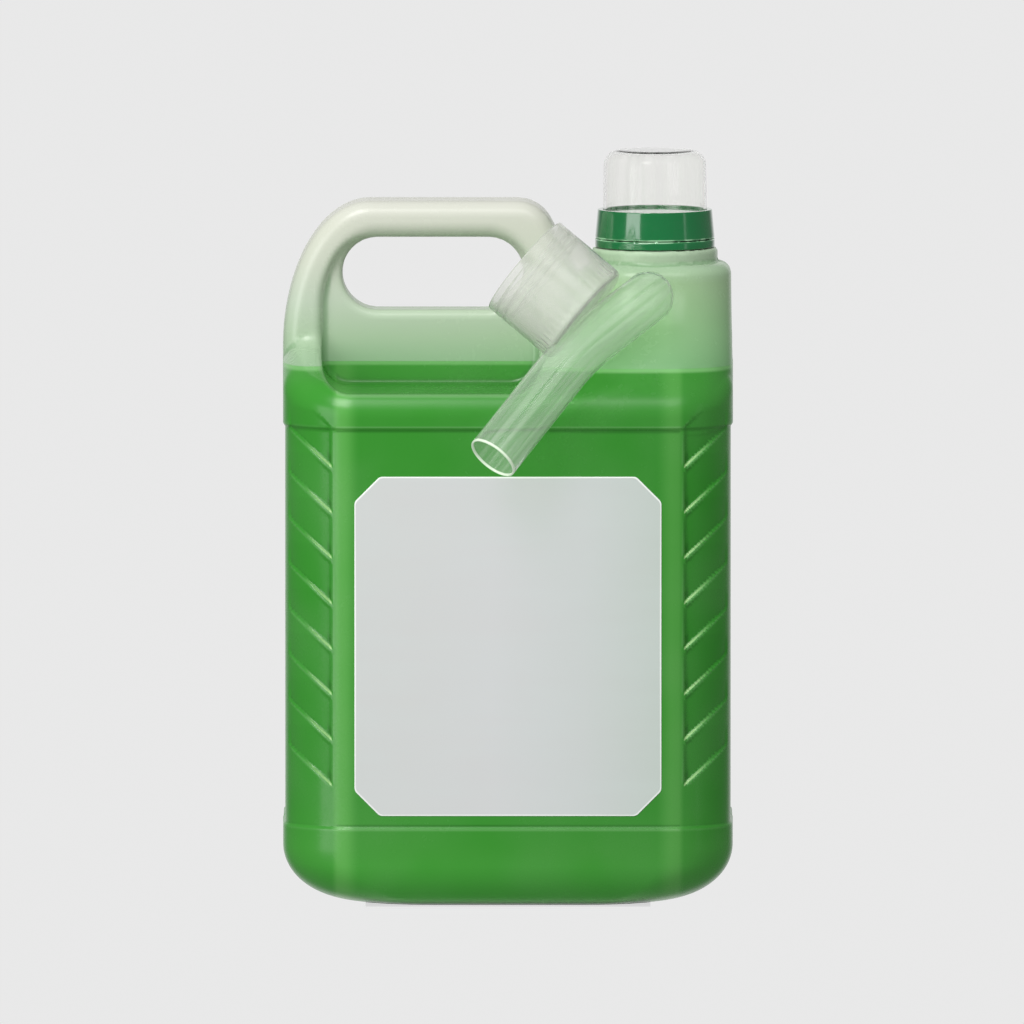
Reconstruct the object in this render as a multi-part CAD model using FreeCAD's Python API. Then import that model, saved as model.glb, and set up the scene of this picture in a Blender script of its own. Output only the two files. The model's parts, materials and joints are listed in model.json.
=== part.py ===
import FreeCAD, Part

import math
import os

from FreeCAD import Vector

# A five-litre jug of green engine coolant: a blow-moulded bottle whose handle lies in line with its
# neck, a screw cap with a tear-off band, a clear dosing cup plugged into the cap and a clear pouring
# spout that leans on the front of the shoulder.
# Millimetres. +Z is up, -Y is the label side, +X is the neck side, and the origin is the centre of
# the footprint on the surface that the jug stands on.

# ------------------------------------------------------------------ jug body
body_width = 190.0
body_depth = 133.0
corner_radius = 30.0
wall = 1.2
base_corner_width = 34.0
base_corner_height = 25.0
base_front_radius = 18.0
push_up_height = 2.5
push_up_length = 118.0
push_up_width = 66.0
push_up_radius = 18.0
cutter_margin = 1.0

# The label zone is drawn in by a step all round the body.
waist_step = 0.9
waist_bottom = 33.0
waist_top = 203.0

# Shallow roof at the foot of the handle, from the front edge of the shoulder up to the rear leg.
shoulder_height = 217.4
shoulder_radius = 10.0
roof_angle = 19.0
roof_ridge_half_depth = 12.0
shoulder_root = 16.8

# ------------------------------------------------------------------ handle
handle_height = 294.6
handle_half_depth = 16.0
handle_rounding = 7.0
rear_sweep_width = 36.7
rear_sweep_height = 61.9
front_crown_set_back = 58.0
front_crown_radius = 16.0
front_slope_angle = 62.0
front_hollow_radius = 14.0
hole_rear_set_in = 40.4
hole_front_set_back = 70.7
hole_drop = 30.8
hole_radius = 15.3
hole_end_flat = 0.001

# Web under the hole: both faces are pressed in to a thin hollow panel with a ledge at its foot.
web_half_depth = 11.0
web_floor_drop = 0.8
web_rear_set_in = 16.5
web_front_set_back = 49.0
web_corner_radius = 12.0
web_side_drop = 14.0
web_sweep_width = 19.0
web_top_margin = 1.5

# ------------------------------------------------------------------ neck tower
tower_foot_drop = 4.4
tower_root = 12.4
tower_root_draft = 0.1
tower_top_drop = 26.4
tower_foot_set_back = 5.0
tower_foot_rear_reach = 48.0
tower_foot_rear_radius = 22.0
tower_top_half_depth = 29.5
tower_top_rear_reach = 29.5
tower_top_rear_radius = 24.0
tower_top_front_radius = 25.0
tower_front_draft = 0.8
tower_edge_radius = 5.0
# Shares of the tower's height and, at each, the share of its narrowing that is done.
tower_profile = ((0.0, 0.0), (0.27, 0.27), (0.58, 0.72), (0.82, 0.93), (1.0, 1.0))
neck_set_in = 33.0
neck_ring_radius = 26.2
neck_ring_height = 6.0
neck_radius = 20.8
neck_bore_radius = 18.8
neck_finish_height = 7.8
neck_bead_radius = 21.8
neck_bead_height = 1.2

# ------------------------------------------------------------------ grip on the four corners
grip_cells = 8
grip_pitch = 19.2
grip_first = 50.6
grip_inner_set_in = 21.1
grip_outer_set_in = 2.5
grip_slope = 0.88
grip_depth = 2.0
grip_fade = 26.0
grip_land = 0.8
grip_top = 196.5
grip_end_share = 1.4

# ------------------------------------------------------------------ contents
fill_level = 226.7
coolant_gap = 0.25

# ------------------------------------------------------------------ label
label_width = 129.2
label_height = 143.3
label_bottom = 38.9
label_chamfer = 10.6
label_chamfer_rounding = 3.0
label_thickness = 0.3

# ------------------------------------------------------------------ cap, band and liner
cap_foot_radius = 25.2
cap_rim_radius = 24.15
cap_rim_height = 5.6
cap_bore_radius = 22.1
cap_deck_thickness = 1.6
cap_middle_drop = 0.8
liner_thickness = 1.0
liner_gap = 0.05
liner_side_gap = 0.3
band_height = 3.4
band_seat_gap = 0.3
band_cap_gap = 0.4
band_bore_radius = 21.5
band_overhang = 0.1

# ------------------------------------------------------------------ dosing cup
cup_radius = 21.95
cup_wall = 1.1
cup_height = 30.6
cup_taper = 0.5
cup_corner_radius = 6.5
cup_side_gap = 0.06
cup_seat_gap = 0.02
cup_inner_gap = 0.4

# ------------------------------------------------------------------ pouring spout
socket_radius = 23.4
socket_wall = 1.1
socket_length = 33.7
socket_direction = Vector(-0.760, 0.160, 0.630)
spout_face = Vector(0.177, -0.882, 0.437)
tube_radius = 11.0
tube_wall = 0.9
tube_end_set_back = 3.0
tube_end_drop = 11.5
tube_lean = 9.0
tube_head_length = 28.0
tube_bend_angle = 13.0
tube_bend_radius = 110.0
tube_tail_length = 50.0
socket_station = 26.0
socket_side_shift = 1.0
port_station = 15.0
port_radius = 6.5
spout_gap = 0.3
spout_gap_tolerance = 0.005

# ------------------------------------------------------------------ places that follow from these
half_width = body_width / 2
half_depth = body_depth / 2
neck_x = half_width - neck_set_in
front_crown_x = neck_x - front_crown_set_back
hole_rear_x = -half_width + hole_rear_set_in
hole_front_x = neck_x - hole_front_set_back
web_rear_x = -half_width + web_rear_set_in
web_front_x = neck_x - web_front_set_back
tower_foot_rear_x = neck_x - tower_foot_rear_reach
tube_end_x = neck_x - tube_end_set_back
grip_inner_x = half_width - grip_inner_set_in
grip_outer_x = half_width - grip_outer_set_in
web_floor = shoulder_height - web_floor_drop
tower_foot = shoulder_height - tower_foot_drop
handle_foot = shoulder_height - shoulder_root
hole_height = handle_height - hole_drop
web_side_height = hole_height - web_side_drop
tower_top = handle_height - tower_top_drop
tube_end_height = tower_top - tube_end_drop
neck_ring_top = tower_top + neck_ring_height
neck_top = neck_ring_top + neck_finish_height
band_bottom = neck_ring_top + band_seat_gap
band_top = band_bottom + band_height
cap_foot = band_top + band_cap_gap
liner_bottom = neck_top + liner_gap
liner_top = liner_bottom + liner_thickness
cap_deck_bottom = liner_top + liner_gap
cap_deck_top = cap_deck_bottom + cap_deck_thickness
cap_rim = cap_deck_top + cap_rim_height
cup_bottom = cap_deck_top + cup_seat_gap
cup_top = cup_bottom + cup_height
tube_end = Vector(tube_end_x, -body_depth, tube_end_height)


def line(start, end):
    """Straight edge."""
    return Part.makeLine(start, end)


def quarter_ellipse(start, corner, end):
    """Quarter ellipse that touches the two lines from start to corner and from corner to end."""
    curve = Part.BezierCurve()
    curve.setPoles([start, corner, end])
    curve.setWeight(2, math.sqrt(0.5))
    return curve.toShape()


def rounded_wire(corners, place):
    """Closed wire of straight sides; corners holds (u, v, radius), and place turns u, v into a point."""
    edges = []
    arcs = []
    count = len(corners)
    for index, (u, v, radius) in enumerate(corners):
        corner = place(u, v)
        before = place(*corners[index - 1][:2])
        after = place(*corners[(index + 1) % count][:2])
        back = (before - corner).normalize()
        ahead = (after - corner).normalize()
        half_angle = back.getAngle(ahead) / 2
        reach = radius / math.tan(half_angle)
        start = corner + back * reach
        end = corner + ahead * reach
        inward = (back + ahead).normalize()
        middle = corner + inward * (radius / math.sin(half_angle) - radius)
        arcs.append((start, middle, end))
    for index, (start, middle, end) in enumerate(arcs):
        if start.distanceToPoint(end) > 1e-6:
            edges.append(Part.Arc(start, middle, end).toShape())
        following = arcs[(index + 1) % count][0]
        if end.distanceToPoint(following) > 1e-6:
            edges.append(line(end, following))
    return Part.Wire(edges)


def on_front(u, v):
    """Point of the front view: u is X and v is Z."""
    return Vector(u, 0, v)


def on_side(u, v):
    """Point of the side view: u is Y and v is Z."""
    return Vector(0, u, v)


def joined(solids):
    """One solid from overlapping ones."""
    return solids[0].fuse(solids[1:])


def both_sides(shape):
    """The shape and its mirror image on the far side of the jug."""
    return [shape, shape.mirror(Vector(0, 0, 0), Vector(0, 1, 0))]


def post(radius, bottom, top):
    """Upright cylinder on the neck's axis."""
    return Part.makeCylinder(radius, top - bottom, Vector(neck_x, 0, bottom))


def turned(profile):
    """Solid turned about the neck's axis from a closed wire of (radius, height) points."""
    points = [Vector(neck_x + radius, 0, height) for radius, height in profile]
    face = Part.Face(Part.makePolygon(points + [points[0]]))
    return face.revolve(Vector(neck_x, 0, 0), Vector(0, 0, 1), 360)


def plan_wire(rear_x, front_x, depth, rear_radius, front_radius, height):
    """Horizontal rounded rectangle, symmetric front to back; depth is its half depth."""
    corners = (
        (rear_x, -depth, rear_radius),
        (front_x, -depth, front_radius),
        (front_x, depth, front_radius),
        (rear_x, depth, rear_radius),
    )
    return rounded_wire(corners, lambda u, v: Vector(u, v, height))


def plan_prism(inset, bottom, top):
    """Upright prism on the plan of the body, drawn in by inset."""
    side = half_width - inset
    radius = corner_radius - inset
    wire = plan_wire(-side, side, half_depth - inset, radius, radius, bottom)
    return Part.Face(wire).extrude(Vector(0, 0, top - bottom))


def front_prism(inset):
    """Front view of the body block with the wide curves at its foot, swept through the depth."""
    side = half_width - inset
    up = base_corner_height
    across = half_width - base_corner_width
    top = shoulder_height + half_depth
    edges = [
        line(Vector(-across, 0, inset), Vector(across, 0, inset)),
        quarter_ellipse(Vector(across, 0, inset), Vector(side, 0, inset), Vector(side, 0, up)),
        line(Vector(side, 0, up), Vector(side, 0, top)),
        line(Vector(side, 0, top), Vector(-side, 0, top)),
        line(Vector(-side, 0, top), Vector(-side, 0, up)),
        quarter_ellipse(Vector(-side, 0, up), Vector(-side, 0, inset), Vector(-across, 0, inset)),
    ]
    face = Part.Face(Part.Wire(edges))
    face.translate(Vector(0, -half_depth, 0))
    return face.extrude(Vector(0, body_depth, 0))


def side_prism(inset):
    """Side view of the body block with its roof, swept through the width."""
    slope = math.tan(math.radians(roof_angle))
    ridge = roof_ridge_half_depth
    ridge_height = shoulder_height + (half_depth - ridge) * slope
    corners = (
        (-half_depth, 0, base_front_radius),
        (half_depth, 0, base_front_radius),
        (half_depth, shoulder_height, shoulder_radius),
        (ridge, ridge_height, 0),
        (-ridge, ridge_height, 0),
        (-half_depth, shoulder_height, shoulder_radius),
    )
    wire = rounded_wire(corners, on_side)
    if inset:
        wire = wire.makeOffset2D(-inset)
    face = Part.Face(wire)
    face.translate(Vector(-half_width, 0, 0))
    return face.extrude(Vector(body_width, 0, 0))


def waist_ring(inset):
    """What the stepped label zone takes off the body block."""
    bottom = waist_bottom - inset
    top = waist_top + inset
    return plan_prism(-cutter_margin, bottom, top).cut(plan_prism(waist_step + inset, bottom, top))


def grip_tools(inset):
    """Slanting scallops of the grip: each deepens downwards and ends on a step that rises outwards."""
    tools = []
    axis_x = half_width - corner_radius
    axis_y = half_depth - corner_radius
    surface = corner_radius - waist_step - inset
    inner = grip_inner_x - inset
    outer = grip_outer_x + inset
    across = outer - inner
    drop = grip_end_share * inset
    quadrant = Part.makeBox(body_width, body_depth, grip_top + inset,
                            Vector(axis_x, -axis_y - body_depth, 0))
    for cell in range(grip_cells):
        low = grip_first + cell * grip_pitch - drop
        high = low + grip_pitch - grip_land + 2 * drop
        outline = [
            Vector(inner, 0, low),
            Vector(inner, 0, high),
            Vector(outer, 0, high + across * grip_slope),
            Vector(outer, 0, low + across * grip_slope),
        ]
        prism = Part.Face(Part.makePolygon(outline + [outline[0]])).extrude(Vector(0, -body_depth, 0))
        core = Part.makeCone(surface - grip_depth, surface, grip_fade, Vector(axis_x, -axis_y, low))
        crown = Part.makeCylinder(surface, body_depth, Vector(axis_x, -axis_y, low + grip_fade))
        skin = Part.makeCylinder(surface + cutter_margin, body_depth, Vector(axis_x, -axis_y, low))
        tools.append(prism.common(skin).common(quadrant).cut([core, crown]))
    mirrored = [tool.mirror(Vector(0, 0, 0), Vector(1, 0, 0)) for tool in tools]
    front = tools + mirrored
    back = [tool.mirror(Vector(0, 0, 0), Vector(0, 1, 0)) for tool in front]
    return front + back


def body_block(inset):
    """Main body up to the roof."""
    top = shoulder_height + half_depth
    block = plan_prism(inset, 0, top).common(front_prism(inset)).common(side_prism(inset))
    return block.cut([waist_ring(inset)] + grip_tools(inset))


def tower_section(share, inset, height):
    """Plan of the tower where a share of its narrowing is done."""
    foot_depth = half_depth - tower_foot_set_back
    rear_x = tower_foot_rear_x + (neck_x - tower_top_rear_reach - tower_foot_rear_x) * share
    front_x = half_width - tower_front_draft * share
    depth = foot_depth + (tower_top_half_depth - foot_depth) * share
    rear_radius = tower_foot_rear_radius + (tower_top_rear_radius - tower_foot_rear_radius) * share
    front_radius = corner_radius + (tower_top_front_radius - corner_radius) * share
    return plan_wire(rear_x + inset, front_x - inset, depth - inset,
                     rear_radius - inset, front_radius - inset, height)


def tower(inset):
    """Shoulder that carries the neck: a loft that narrows from the body's depth to the neck ring."""
    rise = tower_top - inset - tower_foot
    sections = [tower_section(0, inset + tower_root_draft, tower_foot - tower_root)]
    for height_share, share in tower_profile:
        sections.append(tower_section(share, inset, tower_foot + rise * height_share))
    solid = Part.makeLoft(sections, True, True)
    top_edges = [edge for edge in solid.Edges if edge.BoundBox.ZMin > tower_top - inset - 0.01]
    return solid.makeFillet(tower_edge_radius - inset, top_edges)


def handle_outline(inset):
    """Front view of the handle slab: rear sweep, top bar and the slope down to the tower."""
    angle = math.radians(front_slope_angle)
    rear = -half_width + inset
    top = handle_height - inset
    foot = handle_foot
    crown = Vector(front_crown_x, 0, handle_height - front_crown_radius)
    crown_end = crown + Vector(math.sin(angle), 0, math.cos(angle)) * front_crown_radius
    hollow_height = tower_top + front_hollow_radius
    slope_end = hollow_height - front_hollow_radius * math.cos(angle)
    run = (crown_end.z - slope_end) / math.tan(angle)
    hollow = Vector(crown_end.x + run + front_hollow_radius * math.sin(angle), 0, hollow_height)
    crown_radius = front_crown_radius - inset
    hollow_radius = front_hollow_radius + inset

    def on_crown(turn):
        return crown + Vector(math.sin(turn), 0, math.cos(turn)) * crown_radius

    def on_hollow(turn):
        return hollow - Vector(math.sin(turn), 0, math.cos(turn)) * hollow_radius

    sweep_start = Vector(rear, 0, handle_height - rear_sweep_height)
    sweep_end = Vector(-half_width + rear_sweep_width, 0, top)
    edges = [
        line(Vector(rear, 0, foot), sweep_start),
        quarter_ellipse(sweep_start, Vector(rear, 0, top), sweep_end),
        line(sweep_end, on_crown(0)),
        Part.Arc(on_crown(0), on_crown(angle / 2), on_crown(angle)).toShape(),
        line(on_crown(angle), on_hollow(angle)),
        Part.Arc(on_hollow(angle), on_hollow(angle / 2), on_hollow(0)).toShape(),
        line(on_hollow(0), Vector(neck_x, 0, tower_top - inset)),
        line(Vector(neck_x, 0, tower_top - inset), Vector(neck_x, 0, foot)),
        line(Vector(neck_x, 0, foot), Vector(rear, 0, foot)),
    ]
    return Part.Wire(edges)


def hole_wire(growth):
    """Outline of the hand hole, grown by growth."""
    radius = hole_radius + growth
    corners = (
        (hole_rear_x - radius, hole_height - radius, radius - hole_end_flat),
        (hole_front_x + radius, hole_height - radius, radius - hole_end_flat),
        (hole_front_x + radius, hole_height + radius, radius - hole_end_flat),
        (hole_rear_x - radius, hole_height + radius, radius - hole_end_flat),
    )
    return rounded_wire(corners, on_front)


def handle(inset):
    """Slab in line with the neck, with the hand hole and rounded edges."""
    depth = handle_half_depth - inset
    face = Part.Face(handle_outline(inset)).cut(Part.Face(hole_wire(inset)))
    face.translate(Vector(0, -depth, 0))
    slab = face.extrude(Vector(0, 2 * depth, 0))
    rounded = []
    for edge in slab.Edges:
        box = edge.BoundBox
        flat = box.YLength < 0.001 and abs(abs(box.YMin) - depth) < 0.001
        inside = box.XMin > neck_x - 0.01 or box.ZMax < handle_foot + 0.01
        if flat and not inside:
            rounded.append(edge)
    return slab.makeFillet(handle_rounding - inset, rounded)


def web_tools(inset):
    """What is pressed in on each side between the rear leg, the ledge and the tower."""
    grow = inset
    rear = web_rear_x - grow
    front = web_front_x + grow
    floor = web_floor - grow
    radius = web_corner_radius + grow
    top = hole_height + hole_radius - web_top_margin + grow
    side = web_side_height
    sweep = web_sweep_width
    k = radius * (1 - math.sqrt(0.5))
    edges = [
        line(Vector(rear + radius, 0, floor), Vector(front - radius, 0, floor)),
        Part.Arc(Vector(front - radius, 0, floor), Vector(front - k, 0, floor + k),
                 Vector(front, 0, floor + radius)).toShape(),
        line(Vector(front, 0, floor + radius), Vector(front, 0, side)),
        quarter_ellipse(Vector(front, 0, side), Vector(front, 0, top), Vector(front - sweep, 0, top)),
        line(Vector(front - sweep, 0, top), Vector(rear + sweep, 0, top)),
        quarter_ellipse(Vector(rear + sweep, 0, top), Vector(rear, 0, top), Vector(rear, 0, side)),
        line(Vector(rear, 0, side), Vector(rear, 0, floor + radius)),
        Part.Arc(Vector(rear, 0, floor + radius), Vector(rear + k, 0, floor + k),
                 Vector(rear + radius, 0, floor)).toShape(),
    ]
    face = Part.Face(Part.Wire(edges))
    face.translate(Vector(0, -web_half_depth + inset, 0))
    return both_sides(face.extrude(Vector(0, -body_depth, 0)))


def jug_form(inset):
    """Whole bottle below the neck finish, drawn in by inset; with no inset it is the outer form."""
    left = body_block(inset).fuse(handle(inset)).cut(web_tools(inset))
    form = left.fuse(tower(inset))
    ring = post(neck_ring_radius - inset, tower_top - 2 * tower_edge_radius, neck_ring_top - inset)
    form = form.fuse(ring)
    raised = push_up_height + inset
    length = push_up_length / 2 + inset
    width = push_up_width / 2 + inset
    radius = push_up_radius + inset
    push_up = plan_wire(-length, length, width, radius, radius, -cutter_margin)
    return form.cut(Part.Face(push_up).extrude(Vector(0, 0, raised + cutter_margin)))


def jug_body():
    """Blow-moulded shell with its threaded neck; the thread itself is left off the neck."""
    bead_bottom = band_top + band_cap_gap / 2
    outer = joined([
        jug_form(0),
        post(neck_radius, tower_top, neck_top),
        post(neck_bead_radius, bead_bottom, bead_bottom + neck_bead_height),
    ])
    bore = post(neck_bore_radius, tower_top - tower_edge_radius, neck_top + cutter_margin)
    inner = jug_form(wall).fuse(bore)
    return outer.cut(inner)


def coolant():
    """Liquid that fills the bottle to the fill level."""
    size = 2 * body_width
    below = Part.makeBox(size, size, fill_level, Vector(-size / 2, -size / 2, 0))
    return jug_form(wall + coolant_gap).common(below)


def front_label():
    """Blank label with cut corners on the flat front of the label zone."""
    left = -label_width / 2
    right = label_width / 2
    low = label_bottom
    high = label_bottom + label_height
    cut = label_chamfer
    soft = label_chamfer_rounding
    corners = (
        (left + cut, low, soft), (right - cut, low, soft),
        (right, low + cut, soft), (right, high - cut, soft),
        (right - cut, high, soft), (left + cut, high, soft),
        (left, high - cut, soft), (left, low + cut, soft),
    )
    face = Part.Face(rounded_wire(corners, on_front))
    face.translate(Vector(0, -half_depth + waist_step, 0))
    return face.extrude(Vector(0, -label_thickness, 0))


def tamper_band():
    """Ring that stays on the neck, under its bead, when the cap is first unscrewed."""
    outer = cap_foot_radius + band_overhang
    return turned([
        (band_bore_radius, band_bottom), (outer, band_bottom),
        (outer, band_top), (band_bore_radius, band_top),
    ])


def screw_cap():
    """Green cap: a tapered skirt, and a deck with a ring groove that the dosing cup plugs into."""
    recess = cup_radius + cup_side_gap
    middle = cup_radius - cup_taper - cup_wall - cup_inner_gap
    middle_top = cap_rim - cap_middle_drop
    return turned([
        (0, cap_deck_bottom), (cap_bore_radius, cap_deck_bottom), (cap_bore_radius, cap_foot),
        (cap_foot_radius, cap_foot), (cap_rim_radius, cap_rim), (recess, cap_rim),
        (recess, cap_deck_top), (middle, cap_deck_top), (middle, middle_top), (0, middle_top),
    ])


def cap_liner():
    """Sealing disc between the neck and the cap's deck."""
    return post(cap_bore_radius - liner_side_gap, liner_bottom, liner_top)


def cup_shell(radius, taper, corner, bottom, top):
    """Solid cup form standing mouth down, tapering to a rounded closed end."""
    narrow = radius - taper
    k = corner * (1 - math.sqrt(0.5))
    x = neck_x
    edges = [
        line(Vector(x, 0, bottom), Vector(x + radius, 0, bottom)),
        line(Vector(x + radius, 0, bottom), Vector(x + narrow, 0, top - corner)),
        Part.Arc(Vector(x + narrow, 0, top - corner), Vector(x + narrow - k, 0, top - k),
                 Vector(x + narrow - corner, 0, top)).toShape(),
        line(Vector(x + narrow - corner, 0, top), Vector(x, 0, top)),
        line(Vector(x, 0, top), Vector(x, 0, bottom)),
    ]
    face = Part.Face(Part.Wire(edges))
    return face.revolve(Vector(x, 0, 0), Vector(0, 0, 1), 360)


def dosing_cup():
    """Clear cup turned upside down into the cap's rim."""
    outer = cup_shell(cup_radius, cup_taper, cup_corner_radius, cup_bottom, cup_top)
    inner = cup_shell(cup_radius - cup_wall, cup_taper, cup_corner_radius - cup_wall,
                      cup_bottom - cutter_margin, cup_top - cup_wall)
    return outer.cut(inner)


def spout_axes():
    """Unit vectors of the spout: out of the socket, along the tube's head, and out of their plane."""
    normal = Vector(spout_face).normalize()
    out = socket_direction - normal * socket_direction.dot(normal)
    out.normalize()
    across = normal.cross(out)
    lean = math.radians(tube_lean)
    head = across * math.cos(lean) + out * math.sin(lean)
    return out, head, normal


def tube_form(radius, overrun):
    """Solid tube of the spout with a round closed end; overrun carries it on past the mouth."""
    out, head, normal = spout_axes()
    bend_start = tube_end + head * tube_head_length
    inward = normal.cross(head).normalize()
    if inward.dot(out) > 0:
        inward = inward * -1
    centre = bend_start + inward * tube_bend_radius
    axis = inward.cross(head).normalize() * -1
    turn = FreeCAD.Rotation(axis, tube_bend_angle)
    arm = bend_start - centre
    bend_end = centre + turn.multVec(arm)
    tail = turn.multVec(head)
    disc = Part.Face(Part.Wire(Part.makeCircle(radius, bend_start, head)))
    return joined([
        Part.makeSphere(radius, tube_end),
        Part.makeCylinder(radius, tube_head_length, tube_end, head),
        disc.revolve(centre, axis, tube_bend_angle),
        Part.makeCylinder(radius, tube_tail_length + overrun, bend_end, tail),
    ])


def pouring_spout():
    """Clear one-piece spout: a socket that fits the neck, and a bent tube under its closed end.

    The socket stands a little to one side of the tube's centre line.
    """
    out, head, normal = spout_axes()
    station = tube_end + head * socket_station
    closed = station + out * (tube_radius - socket_wall) + normal * socket_side_shift
    outer = tube_form(tube_radius, 0).fuse(Part.makeCylinder(socket_radius, socket_length, closed, out))
    hollow = Part.makeCylinder(socket_radius - socket_wall, socket_length, closed + out * socket_wall, out)
    port = Part.makeCylinder(port_radius, tube_radius + cutter_margin, tube_end + head * port_station, out)
    return outer.cut([tube_form(tube_radius - tube_wall, cutter_margin), hollow, port])


def leaned_on(shape, support, gap):
    """The shape slid towards +Y, from in front of its support, until only the gap is left."""
    placed = shape.copy()
    while True:
        room = placed.distToShape(support)[0] - gap
        if room < spout_gap_tolerance:
            return placed
        placed.translate(Vector(0, room, 0))


def main():
    """Make every piece and write it to its own file."""
    os.makedirs("parts", exist_ok=True)
    bottle = jug_body()
    pieces = {
        "jug_body": bottle,
        "coolant": coolant(),
        "front_label": front_label(),
        "tamper_band": tamper_band(),
        "screw_cap": screw_cap(),
        "cap_liner": cap_liner(),
        "dosing_cup": dosing_cup(),
        "pouring_spout": leaned_on(pouring_spout(), bottle, spout_gap),
    }
    for name, shape in pieces.items():
        shape.exportStep("parts/" + name + ".step")
        print(name, "solids", len(shape.Solids), "volume", round(shape.Volume / 1000, 1), "ml",
              "valid", shape.isValid())


main()
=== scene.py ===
"""Looks of a five-litre coolant jug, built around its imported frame.

Shapes are worked out in millimetres and written to their meshes in metres. +Z is up, -Y is the
label side and +X is the neck side, as in the frame.
"""

import json
import logging
import math
from dataclasses import dataclass
from enum import Enum
from typing import Callable, Optional, Sequence

import bmesh
import bpy
import numpy as np
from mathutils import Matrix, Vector


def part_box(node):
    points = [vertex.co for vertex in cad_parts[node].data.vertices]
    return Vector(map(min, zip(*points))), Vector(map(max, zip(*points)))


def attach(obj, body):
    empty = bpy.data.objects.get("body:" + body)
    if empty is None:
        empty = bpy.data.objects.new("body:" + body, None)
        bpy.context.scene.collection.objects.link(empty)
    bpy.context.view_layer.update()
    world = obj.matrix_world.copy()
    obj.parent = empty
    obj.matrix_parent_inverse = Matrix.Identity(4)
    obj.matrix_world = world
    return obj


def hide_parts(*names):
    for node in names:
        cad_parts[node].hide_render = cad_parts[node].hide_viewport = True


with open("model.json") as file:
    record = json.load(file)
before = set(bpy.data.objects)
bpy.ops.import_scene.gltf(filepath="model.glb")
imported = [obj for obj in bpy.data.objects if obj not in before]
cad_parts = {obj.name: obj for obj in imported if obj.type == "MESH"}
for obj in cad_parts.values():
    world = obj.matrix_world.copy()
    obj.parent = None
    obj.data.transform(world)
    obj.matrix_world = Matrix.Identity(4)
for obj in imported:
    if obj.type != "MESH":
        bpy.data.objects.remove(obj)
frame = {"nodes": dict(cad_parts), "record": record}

MM = 0.001
STATION_SCALE = 0.002
Colour = tuple[float, float, float]
Stops = tuple[tuple[float, Colour], ...]
Socket = bpy.types.NodeSocket
Form = Callable[..., np.ndarray]
log = logging.getLogger("coolant_jug")


class Body(str, Enum):
    """Moving groups of the frame that pieces ride on."""

    JUG = "jug"
    CAP = "cap"
    CUP = "cup"
    SPOUT = "spout"


class Slot(str, Enum):
    """Material slots of the record."""

    SHELL = "frosted_shell"
    COOLANT = "green_coolant"
    LABEL = "label_film"
    CAP = "cap_green"
    CUP = "clear_cup"
    SPOUT = "clear_spout"


# ---------------------------------------------------------------- frame readings
def box_mm(node: str) -> tuple[np.ndarray, np.ndarray]:
    """Lowest and highest corners of a frame node.

    Args:
        node: name of the node.

    Returns:
        The two corners in millimetres.
    """
    low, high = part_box(node)
    return np.array(low) / MM, np.array(high) / MM


def mount(name: str) -> dict:
    """Mount of the record by its name."""
    return next(item for item in frame["record"]["mounts"] if item["name"] == name)


def unit(vector: np.ndarray) -> np.ndarray:
    """Vector of length one along the given one."""
    return vector / np.linalg.norm(vector)


# ---------------------------------------------------------------- distance forms
def smooth_step(value: np.ndarray, start: float, end: float) -> np.ndarray:
    """Share that rises from 0 at start to 1 at end with level ends: 3 t^2 - 2 t^3."""
    share = np.clip((value - start) / (end - start), 0.0, 1.0)
    return share * share * (3.0 - 2.0 * share)


def common(first: np.ndarray, second: np.ndarray, radius: float) -> np.ndarray:
    """Distance to the common part of two forms, whose shared edge is rounded.

    Inside the rounding it is the length of both distances counted from the arc's centre lines,
    less the radius; elsewhere it is the larger of the two.

    Args:
        first: distance to the first form, negative inside.
        second: distance to the second form.
        radius: radius of the rounded edge.

    Returns:
        Distance to the common part.
    """
    outside = np.hypot(np.maximum(first + radius, 0.0), np.maximum(second + radius, 0.0))
    return outside + np.minimum(np.maximum(first, second), -radius)


def union(first: np.ndarray, second: np.ndarray, radius: float) -> np.ndarray:
    """Distance to both forms together, with a fillet of the radius where they meet."""
    return -common(-first, -second, radius)


def rounded_box(across: np.ndarray, along: np.ndarray, half_across: np.ndarray,
                half_along: np.ndarray, radius: np.ndarray) -> np.ndarray:
    """Distance to a rounded rectangle about the origin of a plane.

    It is the distance to the rectangle of the arc centres, less the corner radius.

    Args:
        across: first coordinate of the points.
        along: second coordinate of the points.
        half_across: half size along the first coordinate.
        half_along: half size along the second coordinate.
        radius: radius of the corners.

    Returns:
        Distance, negative inside.
    """
    first = np.abs(across) - half_across + radius
    second = np.abs(along) - half_along + radius
    outside = np.hypot(np.maximum(first, 0.0), np.maximum(second, 0.0))
    return outside + np.minimum(np.maximum(first, second), 0.0) - radius


def elliptic_corner(across: np.ndarray, up: np.ndarray, half_across: float,
                    half_up: float) -> np.ndarray:
    """Near distance to a quarter-ellipse corner and the straight sides that run on from it.

    Coordinates are counted from the ellipse's centre and held at zero behind it. With k the
    length of the coordinates over the half sizes and g the length of them over the half sizes
    squared, the distance is k (k - 1) / g.

    Args:
        across: distance beyond the ellipse's centre towards the side.
        up: distance beyond the ellipse's centre towards the top.
        half_across: half size of the ellipse towards the side.
        half_up: half size of the ellipse towards the top.

    Returns:
        Near distance, negative inside.
    """
    side = np.maximum(across, 0.0)
    top = np.maximum(up, 0.0)
    share = np.hypot(side / half_across, top / half_up)
    slope = np.hypot(side / half_across**2, top / half_up**2)
    level = min(half_across, half_up)
    return np.where(slope > 1e-6, share * (share - 1.0) / np.maximum(slope, 1e-6), -level)


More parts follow.
